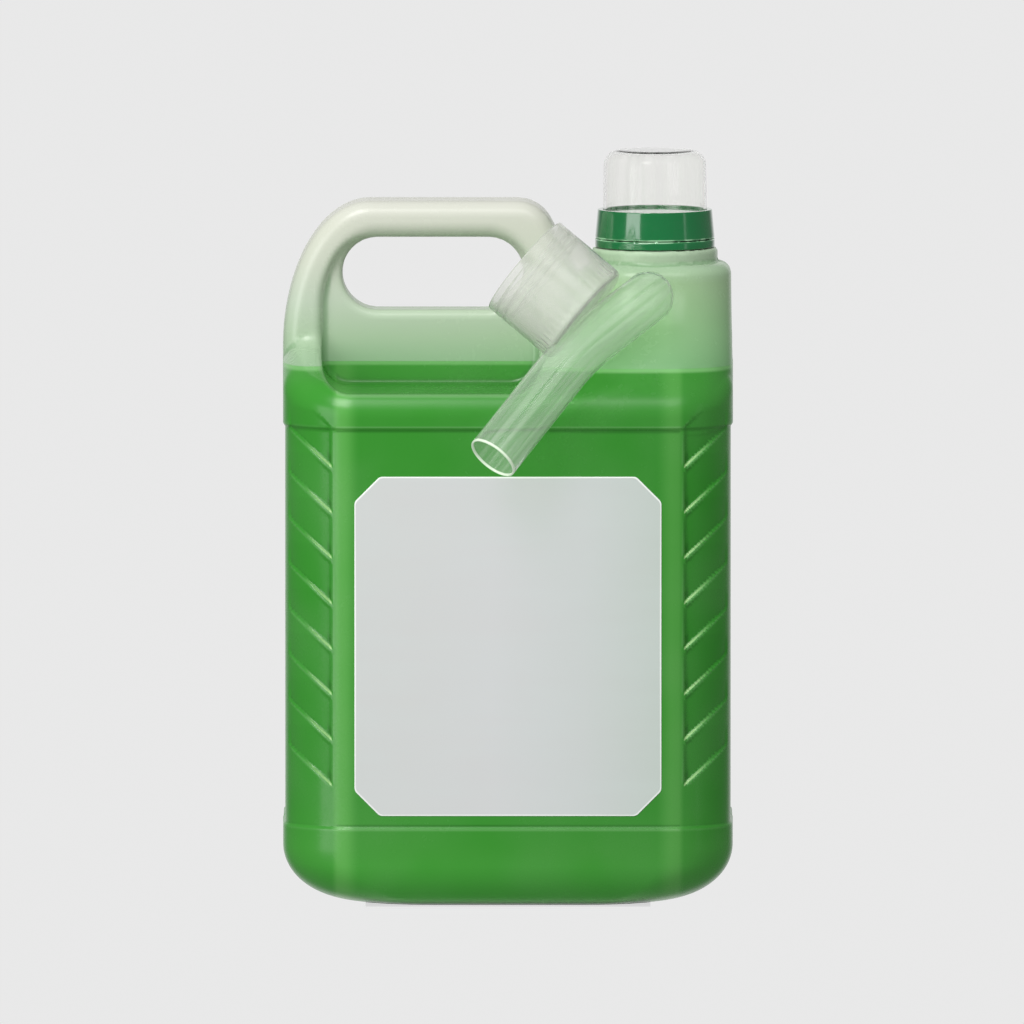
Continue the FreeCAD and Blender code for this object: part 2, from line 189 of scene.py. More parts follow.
def soft_curve(value: np.ndarray, places: Sequence[float], heights: Sequence[float]) -> np.ndarray:
    """Smooth curve through a few points.

    Each span is a cubic whose slopes at the ends are the mean slopes of the neighbouring points.

    Args:
        value: where the curve is read; beyond the ends it stays level.
        places: rising places of the points.
        heights: heights of the points.

    Returns:
        Height of the curve at each value.
    """
    place = np.array(places)
    height = np.array(heights)
    slope = np.gradient(height, place)
    held = np.clip(value, place[0], place[-1])
    span = np.clip(np.searchsorted(place, held, side="right") - 1, 0, len(place) - 2)
    width = place[span + 1] - place[span]
    share = (held - place[span]) / width
    rise = height[span] * (1 + 2 * share) * (1 - share) ** 2
    rise += height[span + 1] * share**2 * (3 - 2 * share)
    rise += width * slope[span] * share * (1 - share) ** 2
    return rise - width * slope[span + 1] * share**2 * (1 - share)


# ---------------------------------------------------------------- meshes
def add_object(name: str, points: np.ndarray, faces: np.ndarray,
               normals: Optional[np.ndarray] = None) -> bpy.types.Object:
    """Smooth-shaded object from whole arrays.

    Args:
        name: name of the piece.
        points: vertices in millimetres, one row each.
        faces: four vertex numbers a row, anticlockwise from outside.
        normals: direction of the surface at each vertex, where it is known.

    Returns:
        The new object, at the origin.
    """
    mesh = bpy.data.meshes.new(name)
    mesh.vertices.add(len(points))
    mesh.vertices.foreach_set("co", (points * MM).astype(np.float32).ravel())
    mesh.loops.add(faces.size)
    mesh.loops.foreach_set("vertex_index", faces.astype(np.int32).ravel())
    mesh.polygons.add(len(faces))
    starts = np.arange(0, faces.size, faces.shape[1], dtype=np.int32)
    mesh.polygons.foreach_set("loop_start", starts)
    mesh.update(calc_edges=True)
    mesh.validate()
    mesh.shade_smooth()
    if normals is not None:
        mesh.normals_split_custom_set_from_vertices(normals.tolist())
    result = bpy.data.objects.new(name, mesh)
    bpy.context.scene.collection.objects.link(result)
    return result


def store(piece: bpy.types.Object, name: str, values: np.ndarray) -> None:
    """Keep values at the vertices of a piece as an attribute that its material reads.

    Args:
        piece: the piece.
        name: name of the attribute.
        values: one number, or a row of three, for each vertex.
    """
    kind, place = ("FLOAT_VECTOR", "vector") if values.shape[-1] == 3 else ("FLOAT", "value")
    layer = piece.data.attributes.new(name, kind, "POINT")
    layer.data.foreach_set(place, values.astype(np.float32).ravel())


def grid_faces(rows: int, columns: int, first: int = 0) -> np.ndarray:
    """Quads of a grid whose columns close on themselves.

    Args:
        rows: number of rows.
        columns: number of columns round the grid.
        first: number of the grid's first vertex.

    Returns:
        Four vertex numbers for each quad.
    """
    row, column = np.meshgrid(np.arange(rows - 1), np.arange(columns), indexing="ij")
    following = (column + 1) % columns
    quads = np.stack([row * columns + column, row * columns + following,
                      (row + 1) * columns + following, (row + 1) * columns + column], axis=-1)
    return quads.reshape(-1, 4) + first


def close_poles(piece: bpy.types.Object) -> None:
    """Merge the vertices that meet at poles and seams, and turn every face outwards.

    Args:
        piece: the piece that is closed.
    """
    shell = bmesh.new()
    shell.from_mesh(piece.data)
    bmesh.ops.remove_doubles(shell, verts=shell.verts, dist=1e-6)
    bmesh.ops.dissolve_degenerate(shell, edges=shell.edges, dist=1e-7)
    bmesh.ops.recalc_face_normals(shell, faces=shell.faces)
    shell.to_mesh(piece.data)
    shell.free()
    piece.data.shade_smooth()


def rounded_profile(corners: Sequence[tuple[float, float, float]], closed: bool = True,
                    steps: int = 6) -> np.ndarray:
    """Outline of straight sides whose corners are arcs.

    Each corner is replaced by the arc that touches both its sides: it starts the radius over the
    tangent of half the corner's angle away from the corner.

    Args:
        corners: first coordinate, second coordinate and radius of each corner.
        closed: whether the last corner joins the first.
        steps: spans of each arc.

    Returns:
        Points of the outline, one row each.
    """
    spots = np.array([corner[:2] for corner in corners], dtype=float)
    points = []
    for index, (_, _, radius) in enumerate(corners):
        at_end = not closed and index in (0, len(corners) - 1)
        if radius <= 0 or at_end:
            points.append(spots[index])
            continue
        back = unit(spots[index - 1] - spots[index])
        ahead = unit(spots[(index + 1) % len(spots)] - spots[index])
        half = math.acos(float(np.clip(back @ ahead, -1, 1))) / 2
        centre = spots[index] + unit(back + ahead) * radius / math.sin(half)
        start = spots[index] + back * radius / math.tan(half) - centre
        end = spots[index] + ahead * radius / math.tan(half) - centre
        turn = math.pi - 2 * half
        share = np.linspace(0, 1, steps + 1)[:, None]
        arc = (np.sin((1 - share) * turn) * start + np.sin(share * turn) * end) / math.sin(turn)
        points.extend(centre + arc)
    return np.array(points)


def carried(name: str, stations: np.ndarray, radii: np.ndarray, segments: int,
            centre: Callable[[np.ndarray], np.ndarray],
            sides: Callable[[np.ndarray], tuple[np.ndarray, np.ndarray]],
            swell: Optional[Callable[[np.ndarray, np.ndarray], np.ndarray]] = None
            ) -> bpy.types.Object:
    """Round profile carried along a path.

    A point is the path's centre at its station, plus its radius times (cosine of the turn along
    the first side plus sine of the turn along the second side). The attribute "around" keeps the
    cosine and sine of the turn and the station times STATION_SCALE.

    Args:
        name: name of the piece.
        stations: distance along the path of each ring.
        radii: radius of each ring.
        segments: columns round the path.
        centre: gives the path's points at the stations.
        sides: gives the two unit directions across the path at the stations.
        swell: extra radius at each station and turn.

    Returns:
        The finished shell.
    """
    turn = np.linspace(0, 2 * math.pi, segments, endpoint=False)
    ring, angle = np.meshgrid(stations, turn, indexing="ij")
    radius = np.repeat(radii[:, None], segments, axis=1)
    if swell is not None:
        radius = radius + swell(ring, angle) * (radius > 1e-3)
    first, second = sides(stations)
    points = centre(stations)[:, None, :]
    points = points + (radius * np.cos(angle))[..., None] * first[:, None, :]
    points = points + (radius * np.sin(angle))[..., None] * second[:, None, :]
    piece = add_object(name, points.reshape(-1, 3), grid_faces(len(stations), segments))
    store(piece, "around", np.stack([np.cos(angle), np.sin(angle), ring * STATION_SCALE], axis=-1))
    close_poles(piece)
    return piece


def turned(name: str, profile: np.ndarray, segments: int, origin: np.ndarray,
           axis: np.ndarray = np.array([0.0, 0.0, 1.0]),
           swell: Optional[Callable[[np.ndarray, np.ndarray], np.ndarray]] = None
           ) -> bpy.types.Object:
    """Profile of (radius, height) points turned about an axis.

    Args:
        name: name of the piece.
        profile: outline whose last point meets its first, or whose ends lie on the axis.
        segments: columns round the axis.
        origin: point of the axis where the height is zero.
        axis: unit direction of the axis.
        swell: extra radius at each height and turn.

    Returns:
        The finished piece.
    """
    start = np.array([0.0, 1.0, 0.0]) if abs(axis[1]) < 0.9 else np.array([1.0, 0.0, 0.0])
    first = unit(np.cross(start, axis))
    second = np.cross(axis, first)

    def centre(heights: np.ndarray) -> np.ndarray:
        """Points of the axis at the heights."""
        return origin + heights[:, None] * axis

    def sides(heights: np.ndarray) -> tuple[np.ndarray, np.ndarray]:
        """The same two directions at every height."""
        count = len(heights)
        return np.repeat(first[None], count, axis=0), np.repeat(second[None], count, axis=0)

    return carried(name, profile[:, 1], profile[:, 0], segments, centre, sides, swell)


def looped(profile: np.ndarray) -> np.ndarray:
    """Profile whose first point is repeated at its end."""
    return np.vstack([profile, profile[:1]])


def refined(profile: np.ndarray, step: float) -> np.ndarray:
    """Profile whose long spans are cut into equal ones no longer than step.

    Args:
        profile: points of the profile, one row each.
        step: longest span that stays.

    Returns:
        The refined profile.
    """
    parts = [profile[:1]]
    for start, end in zip(profile[:-1], profile[1:]):
        count = max(1, math.ceil(float(np.linalg.norm(end - start)) / step))
        share = np.linspace(0, 1, count + 1)[1:, None]
        parts.append(start + (end - start) * share)
    return np.vstack(parts)


# ---------------------------------------------------------------- dressing
@dataclass(frozen=True)
class Materials:
    """Ready materials that the pieces are dressed in."""

    shell: bpy.types.Material
    cap: bpy.types.Material
    liner: bpy.types.Material
    coolant: bpy.types.Material
    label: bpy.types.Material
    cup: bpy.types.Material
    tube: bpy.types.Material
    socket: bpy.types.Material


def dressed(piece: bpy.types.Object, body: Body, material: bpy.types.Material,
            replaces: Optional[str] = None) -> bpy.types.Object:
    """Give a piece its material, and tie it to its moving group.

    Args:
        piece: the finished mesh.
        body: group that it moves with.
        material: its finish.
        replaces: frame node that it stands for, if any.

    Returns:
        The same piece.
    """
    piece.data.materials.clear()
    piece.data.materials.append(material)
    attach(piece, body.value)
    if replaces:
        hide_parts(replaces)
    log.info("%s: %d faces, rides %s", piece.name, len(piece.data.polygons), body.value)
    return piece


# ---------------------------------------------------------------- meshing of a form
def spaced(knots: Sequence[float], steps: Sequence[float]) -> np.ndarray:
    """Rising coordinates between knots, with each span's own step.

    Args:
        knots: rising coordinates that are kept.
        steps: step within each span.

    Returns:
        The coordinates.
    """
    parts = [np.array([knots[0]])]
    for start, end, step in zip(knots[:-1], knots[1:], steps):
        count = max(1, round((end - start) / step))
        parts.append(np.linspace(start, end, count + 1)[1:])
    return np.concatenate(parts)


def surface_net(values: np.ndarray, axes: Sequence[np.ndarray]) -> tuple[np.ndarray, np.ndarray]:
    """Quads over the zero surface of a grid of distances.

    Each cell that the surface crosses has one vertex, the mean of the crossings of its edges, and
    each crossed edge gives the quad of its four cells.

    Args:
        values: distances at the grid's nodes, negative inside.
        axes: coordinates of the nodes along X, Y and Z.

    Returns:
        Vertices, and the four vertex numbers of each quad.
    """
    cells = np.array(values.shape) - 1
    totals = np.zeros((4, int(cells.prod())))
    loops = []
    for axis in range(3):
        low = np.take(values, range(values.shape[axis] - 1), axis)
        high = np.take(values, range(1, values.shape[axis]), axis)
        index = np.argwhere((low < 0) != (high < 0))
        start = low[tuple(index.T)]
        share = start / (start - high[tuple(index.T)])
        point = np.stack([axes[side][index[:, side]] for side in range(3)], axis=1)
        after = axes[axis][index[:, axis] + 1]
        point[:, axis] += share * (after - point[:, axis])
        second, third = (axis + 1) % 3, (axis + 2) % 3
        corners = []
        for back_second, back_third in ((1, 1), (0, 1), (0, 0), (1, 0)):
            cell = index.copy()
            cell[:, second] -= back_second
            cell[:, third] -= back_third
            flat = np.ravel_multi_index(tuple(cell.T), tuple(cells), mode="clip")
            for side in range(3):
                totals[side] += np.bincount(flat, point[:, side], minlength=totals.shape[1])
            totals[3] += np.bincount(flat, minlength=totals.shape[1])
            corners.append(flat)
        quad = np.stack(corners, axis=1)
        quad[start > 0] = quad[start > 0][:, ::-1]
        loops.append(quad)
    quads = np.concatenate(loops)
    used = np.unique(quads)
    points = (totals[:3, used] / totals[3, used]).T
    return points, np.searchsorted(used, quads)


def slopes(form: Form, points: np.ndarray, reach: float = 0.2) -> np.ndarray:
    """Gradient of a form: half the difference over the reach to both sides, along each axis.

    Args:
        form: distance to the form, negative inside.
        points: points, one row each.
        reach: distance to the neighbours that are compared.

    Returns:
        Gradient at each point.
    """
    parts = []
    for axis in range(3):
        shift = np.zeros(3)
        shift[axis] = reach
        ahead = form(*(points + shift).T)
        behind = form(*(points - shift).T)
        parts.append((ahead - behind) / (2 * reach))
    return np.stack(parts, axis=1)


def bends(form: Form, points: np.ndarray, step: float) -> np.ndarray:
    """How sharply a form bends at its surface, as a second difference summed over the axes.

    Args:
        form: distance to the form, negative inside.
        points: points on its surface, one row each.
        step: distance to the neighbours that are compared.

    Returns:
        One over the bend's radius in mm, positive on edges and negative in hollows.
    """
    middle = form(*points.T)
    total = np.zeros(len(points))
    for axis in range(3):
        shift = np.zeros(3)
        shift[axis] = step
        total += form(*(points + shift).T) + form(*(points - shift).T) - 2.0 * middle
    return total / step**2


def settled(form: Form, points: np.ndarray, rounds: int = 4) -> np.ndarray:
    """Points moved on to the zero surface along its gradient, by distance over slope.

    Args:
        form: distance to the form, negative inside.
        points: points near its surface.
        rounds: how often the points are moved.

    Returns:
        The moved points.
    """
    for _ in range(rounds):
        slope = slopes(form, points)
        steep = np.maximum((slope**2).sum(axis=1), 0.05)
        move = form(*points.T) / steep
        points = points - np.clip(move, -0.8, 0.8)[:, None] * slope
    return points


def netted(form: Form, axes: Sequence[np.ndarray]) -> tuple[np.ndarray, np.ndarray]:
    """Mesh of a form's zero surface on a grid, settled on to that surface.

    Args:
        form: distance to the form, negative inside.
        axes: coordinates of the grid along X, Y and Z.

    Returns:
        Vertices, and the four vertex numbers of each quad.
    """
    x, y, z = axes
    points, quads = surface_net(form(x[:, None, None], y[None, :, None], z[None, None, :]), axes)
    return settled(form, points), quads


# ---------------------------------------------------------------- the bottle
@dataclass
class JugSkin:
    """Blow-moulded bottle: one smooth skin over body, handle, web, tower and neck ring.

    Sizes are in millimetres and angles in degrees. The waist has the heights of its two steps,
    the foot corner and the rear sweep have the half sizes of their ellipses, and the push-up has
    its half sizes, corner radius and height. Pairs of the tower are its sizes at foot and top.
    """

    half_width: float
    half_depth: float
    handle_top: float
    neck_x: float
    corner_radius: float = 30.0
    foot_corner: tuple[float, float] = (34.0, 25.0)
    foot_front_radius: float = 18.0
    waist: tuple[float, float] = (33.0, 203.0)
    waist_step: float = 0.9
    waist_edge: float = 1.6
    shoulder: float = 217.4
    shoulder_radius: float = 10.0
    roof_angle: float = 19.0
    ridge_half_depth: float = 12.0
    root: float = 203.0
    handle_half_depth: float = 16.0
    handle_rounding: float = 7.0
    rear_sweep: tuple[float, float] = (36.7, 61.9)
    crown_set_back: float = 58.0
    crown_radius: float = 16.0
    front_slope: float = 62.0
    hole_rear_set_in: float = 40.4
    hole_front_set_back: float = 70.7
    hole_drop: float = 30.8
    hole_radius: float = 15.3
    web_rear_set_in: float = 16.5
    web_front_set_back: float = 49.0
    web_half_depth: float = 11.0
    web_floor_drop: float = 0.8
    web_corner: float = 12.0
    web_sweep: float = 19.0
    web_side_drop: float = 14.0
    web_top_margin: float = 1.5
    web_hollow: float = 3.0
    tower_foot_drop: float = 4.4
    tower_top_drop: float = 26.4
    tower_foot_set_back: float = 5.0
    tower_rear_reach: tuple[float, float] = (48.0, 29.5)
    tower_rear_radius: tuple[float, float] = (22.0, 24.0)
    tower_front_radius: tuple[float, float] = (30.0, 25.0)
    tower_top_half_depth: float = 29.5
    tower_front_draft: float = 0.8
    tower_edge_radius: float = 5.0
    tower_rise_shares: tuple[float, ...] = (0.0, 0.27, 0.58, 0.82, 1.0)
    tower_narrowing_shares: tuple[float, ...] = (0.0, 0.27, 0.72, 0.93, 1.0)
    ring_radius: float = 26.2
    ring_height: float = 6.0
    bore_radius: float = 19.6
    bore_depth: float = 42.0
    grip_cells: int = 8
    grip_pitch: float = 19.2
    grip_first: float = 50.6
    grip_set_in: tuple[float, float] = (21.1, 2.5)
    grip_slope: float = 0.88
    grip_depth: float = 2.0
    grip_fade: float = 26.0
    grip_land: float = 0.8
    grip_edge: float = 1.3
    grip_ledge: float = 2.0
    push_up: tuple[float, float, float, float] = (59.0, 33.0, 18.0, 2.5)
    push_up_edges: tuple[float, float] = (1.2, 1.0)
    handle_fillet: float = 5.0
    tower_fillet: float = 4.0
    fillet_clearing: float = 12.0
    web_edge: tuple[float, float] = (1.3, 2.4)
    web_edge_heights: tuple[float, float] = (220.0, 238.0)
    ring_edge: float = 1.2
    ring_fillet: float = 1.4
    ring_root: float = 10.0
    bore_edge: float = 0.4
    seam_height: float = 0.22
    seam_width: float = 0.5
    seam_end: float = 3.0
    seam_clear: tuple[float, float] = (22.0, 24.0)
    bend_step: float = 1.5

    @classmethod
    def from_frame(cls) -> "JugSkin":
        """Skin sized by the frame's jug body and screw cap.

        Returns:
            The sized skin.
        """
        _, high = box_mm("jug_body")
        cap_low, cap_high = box_mm("screw_cap")
        return cls(half_width=float(high[0]), half_depth=float(high[1]),
                   handle_top=float(high[2]), neck_x=float(cap_low[0] + cap_high[0]) / 2)

    @property
    def tower_top(self) -> float:
        """Height of the tower's flat top."""
        return self.handle_top - self.tower_top_drop

    @property
    def hole_height(self) -> float:
        """Height of the middle of the hand hole."""
        return self.handle_top - self.hole_drop

    @property
    def side(self) -> float:
        """Half width of the skin without its parting line."""
        return self.half_width - self.seam_height

    def grips(self, x: np.ndarray, y: np.ndarray, z: np.ndarray) -> np.ndarray:
        """Depth of the slanting grip scallops on the four corners.

        Counted along a slanting line, each cell starts with a step to its full depth, which fades
        with height, and ends at a narrow land below the next cell.

        Args:
            x: places along the bottle.
            y: places across the bottle.
            z: heights over the ground.

        Returns:
            Depth of the scallops at the points.
        """
        inner = self.half_width - self.grip_set_in[0]
        outer = self.half_width - self.grip_set_in[1]
        across = np.abs(x)
        edge = self.grip_edge
        rise = z - self.grip_first - self.grip_slope * (across - inner)
        cell = np.clip(np.floor(rise / self.grip_pitch), 0, self.grip_cells - 1)
        phase = rise - cell * self.grip_pitch
        climb = z - self.grip_first - cell * self.grip_pitch
        depth = self.grip_depth * np.clip(1.0 - climb / self.grip_fade, 0.0, 1.0)
        run = smooth_step(phase, 0.0, self.grip_ledge)
        run = run * smooth_step(self.grip_pitch - self.grip_land - phase, 0.0, edge)
        width = smooth_step(across, inner, inner + edge)
        width = width * smooth_step(-across, -outer, edge - outer)
        corner = smooth_step(np.abs(y), self.half_depth - self.corner_radius,
                             self.half_depth - self.corner_radius + edge)
        return depth * run * width * corner

    def body(self, x: np.ndarray, y: np.ndarray, z: np.ndarray) -> np.ndarray:
        """Body block: a rounded rectangle whose half sizes shrink along ellipses to the foot.

        Args:
            x: places along the bottle.
            y: places across the bottle.
            z: heights over the ground.

        Returns:
            Distance, negative inside.
        """
        foot_x = np.clip(1.0 - z / self.foot_corner[1], 0.0, 1.0)
        foot_y = np.clip(1.0 - z / self.foot_front_radius, 0.0, 1.0)
        step = self.waist_step * smooth_step(z, self.waist[0], self.waist[0] + self.waist_edge)
        step = step * smooth_step(-z, -self.waist[1], self.waist_edge - self.waist[1])
        half_x = self.side - step - self.foot_corner[0] * (1.0 - np.sqrt(1.0 - foot_x**2))
        half_y = self.half_depth - step - self.foot_front_radius * (1.0 - np.sqrt(1.0 - foot_y**2))
        wall = rounded_box(x, y, half_x, half_y, self.corner_radius - step) + self.grips(x, y, z)
        angle = math.radians(self.roof_angle)
        inward = self.half_depth - np.maximum(np.abs(y), self.ridge_half_depth)
        roof = (z - self.shoulder - inward * math.tan(angle)) * math.cos(angle)
        return np.maximum(common(wall, roof, self.shoulder_radius), -z)

    def handle(self, x: np.ndarray, y: np.ndarray, z: np.ndarray) -> np.ndarray:
        """Handle slab: rear sweep, bar, round crown and front slope, less the hand hole.

        Args:
            x: places along the bottle.
            y: places across the bottle.
            z: heights over the ground.

        Returns:
            Distance, negative inside.
        """
        rear = elliptic_corner(self.rear_sweep[0] - self.side - x,
                               z - self.handle_top + self.rear_sweep[1], *self.rear_sweep)
        angle = math.radians(self.front_slope)
        over = x - (self.neck_x - self.crown_set_back)
        up = z - (self.handle_top - self.crown_radius)
        leaning = over * math.sin(angle) + up * math.cos(angle)
        on_arc = (over >= 0) & (up * math.sin(angle) >= over * math.cos(angle)) & (leaning >= 0)
        front = np.where(on_arc, np.hypot(over, up), np.maximum(up, leaning)) - self.crown_radius
        start = -self.half_width + self.hole_rear_set_in
        end = self.neck_x - self.hole_front_set_back
        hole = np.hypot(x - np.clip(x, start, end), z - self.hole_height) - self.hole_radius
        outline = np.maximum(np.maximum(rear, front), -hole)
        slab = common(outline, np.abs(y) - self.handle_half_depth, self.handle_rounding)
        return np.maximum(slab, self.root - z)

    def web(self, x: np.ndarray, y: np.ndarray, z: np.ndarray) -> np.ndarray:
        """What is pressed in on both sides under the handle, down to the ledge.

        Args:
            x: places along the bottle.
            y: places across the bottle.
            z: heights over the ground.

        Returns:
            Distance, negative inside.
        """
        rear = -self.half_width + self.web_rear_set_in
        front = self.neck_x - self.web_front_set_back
        half = (front - rear) / 2
        beside = np.abs(x - (front + rear) / 2)
        floor = self.shoulder - self.web_floor_drop
        side_height = self.hole_height - self.web_side_drop
        top = self.hole_height + self.hole_radius - self.web_top_margin
        upper = elliptic_corner(beside - half + self.web_sweep, z - side_height,
                                self.web_sweep, top - side_height)
        lower = rounded_box(beside, np.minimum(z - side_height, 0.0), half, side_height - floor,
                            self.web_corner)
        outline = np.where(z > (side_height + floor) / 2, upper, lower)
        return common(outline, self.web_half_depth - np.abs(y), self.web_hollow)

    def tower(self, x: np.ndarray, y: np.ndarray, z: np.ndarray) -> np.ndarray:
        """Tower: a rounded rectangle that narrows along a smooth curve up to the neck ring.

        Args:
            x: places along the bottle.
            y: places across the bottle.
            z: heights over the ground.

        Returns:
            Distance, negative inside.
        """
        foot = self.shoulder - self.tower_foot_drop
        heights = [foot + share * (self.tower_top - foot) for share in self.tower_rise_shares]
        share = soft_curve(z, heights, self.tower_narrowing_shares)

        def between(ends: tuple[float, float]) -> np.ndarray:
            """Value between the one at the foot and the one at the top."""
            return ends[0] + (ends[1] - ends[0]) * share

        rear = self.neck_x - between(self.tower_rear_reach)
        front = self.side - self.tower_front_draft * share
        depth = between((self.half_depth - self.tower_foot_set_back, self.tower_top_half_depth))
        middle = (rear + front) / 2
        radius = np.where(x < middle, between(self.tower_rear_radius),
                          between(self.tower_front_radius))
        wall = rounded_box(x - middle, y, (front - rear) / 2, depth, radius)
        return np.maximum(common(wall, z - self.tower_top, self.tower_edge_radius), self.root - z)

    def form(self, x: np.ndarray, y: np.ndarray, z: np.ndarray) -> np.ndarray:
        """Distance to the whole bottle, negative inside.

        Body and handle are joined, the web is pressed in, tower and neck ring are added, and the
        bore and the base's push-up are taken out. Fillets shrink where two faces lie in one plane.

        Args:
            x: places along the bottle.
            y: places across the bottle.
            z: heights over the ground.

        Returns:
            Distance, negative inside.
        """
        clear = 0.05 + smooth_step(-np.abs(x), -self.half_width,
                                   self.fillet_clearing - self.half_width)
        bottle = union(self.body(x, y, z), self.handle(x, y, z), self.handle_fillet * clear)
        low_edge, more_edge = self.web_edge
        web_edge = low_edge + more_edge * smooth_step(z, *self.web_edge_heights)
        bottle = common(bottle, -self.web(x, y, z), web_edge)
        bottle = union(bottle, self.tower(x, y, z), self.tower_fillet * clear)
        reach = np.hypot(x - self.neck_x, y)
        ring_top = self.tower_top + self.ring_height
        ring = common(reach - self.ring_radius, z - self.tower_top - self.ring_height,
                      self.ring_edge)
        ring = np.maximum(ring, self.tower_top - self.ring_root - z)
        bottle = union(bottle, ring, self.ring_fillet)
        bore = np.maximum(reach - self.bore_radius, ring_top - self.bore_depth - z)
        bottle = common(bottle, -bore, self.bore_edge)
        half_x, half_y, radius, height = self.push_up
        roof_edge, foot_edge = self.push_up_edges
        hollow = common(rounded_box(x, y, half_x, half_y, radius), z - height, roof_edge)
        bottle = common(bottle, -hollow, foot_edge)
        on_foot = 1.0 - smooth_step(z, 1.0, 5.0) * np.ones_like(x)
        seam = self.seam_height * np.exp(-((y / self.seam_width) ** 2))
        seam = seam * (1.0 - on_foot * (np.abs(x) > half_x - self.seam_end))
        return bottle - seam * smooth_step(reach, *self.seam_clear)

    def build(self) -> bpy.types.Object:
        """Mesh the form on a grid whose steps are finest at the corners, grips and handle.

        Returns:
            The finished piece.
        """
        side, depth = self.half_width + 2.0, self.half_depth + 2.0
        low, high = self.waist
        x = spaced((-side, -60.0, 60.0, side), (1.25, 3.0, 1.25))
        y = spaced((-depth, -34.0, -1.8, 1.8, 34.0, depth), (1.4, 3.2, 0.6, 3.2, 1.4))
        z = spaced((-1.5, low - 2.0, low + 3.0, low + 15.0, high - 2.0, high + 3.0, 232.0,
                    self.handle_top + 2.0), (1.8, 0.8, 1.8, 1.05, 0.8, 1.3, 1.6))
        points, quads = netted(self.form, (x, y, z))
        slope = slopes(self.form, points, 0.3)
        normals = slope / np.linalg.norm(slope, axis=1, keepdims=True)
        log.info("jug skin: %d quads", len(quads))
        piece = add_object("jug_skin", points, quads, normals)
        store(piece, "bend", bends(self.form, points, self.bend_step))
        return piece

    def dress(self, materials: Materials) -> None:
        """Build the bottle in the frosted wall, in place of the frame's jug body."""
        dressed(self.build(), Body.JUG, materials.shell, "jug_body")


@dataclass
class Coolant:
    """Liquid inside the bottle: the bottle's form drawn in by its wall, and level at the top."""

    skin: JugSkin
    level: float
    wall: float
    rounding: float = 0.5

    @classmethod
    def from_frame(cls, skin: JugSkin) -> "Coolant":
        """Liquid up to the level and as far from the side as in the frame.

        Args:
            skin: the bottle that holds it.

        Returns:
            The sized liquid.
        """
        _, high = box_mm("coolant")
        return cls(skin, float(high[2]), float(skin.half_width - high[0]))

    def form(self, x: np.ndarray, y: np.ndarray, z: np.ndarray) -> np.ndarray:
        """Distance to the liquid, negative inside."""
        return common(self.skin.form(x, y, z) + self.wall, z - self.level, self.rounding)

    def build(self) -> bpy.types.Object:
        """Mesh the form on a coarse grid, which is finer at the foot and at the level.

        Returns:
            The finished piece.
        """
        side, depth = self.skin.half_width + 1.0, self.skin.half_depth + 1.0
        axes = (spaced((-side, side), (4.0,)), spaced((-depth, depth), (4.0,)),
                spaced((-1.0, 28.0, self.skin.waist[1], self.level + 2.0), (2.5, 6.0, 2.5)))
        return add_object("coolant_fill", *netted(self.form, axes))

    def dress(self, materials: Materials) -> None:
        """Build the liquid in place of the frame's coolant."""
        dressed(self.build(), Body.JUG, materials.coolant, "coolant")


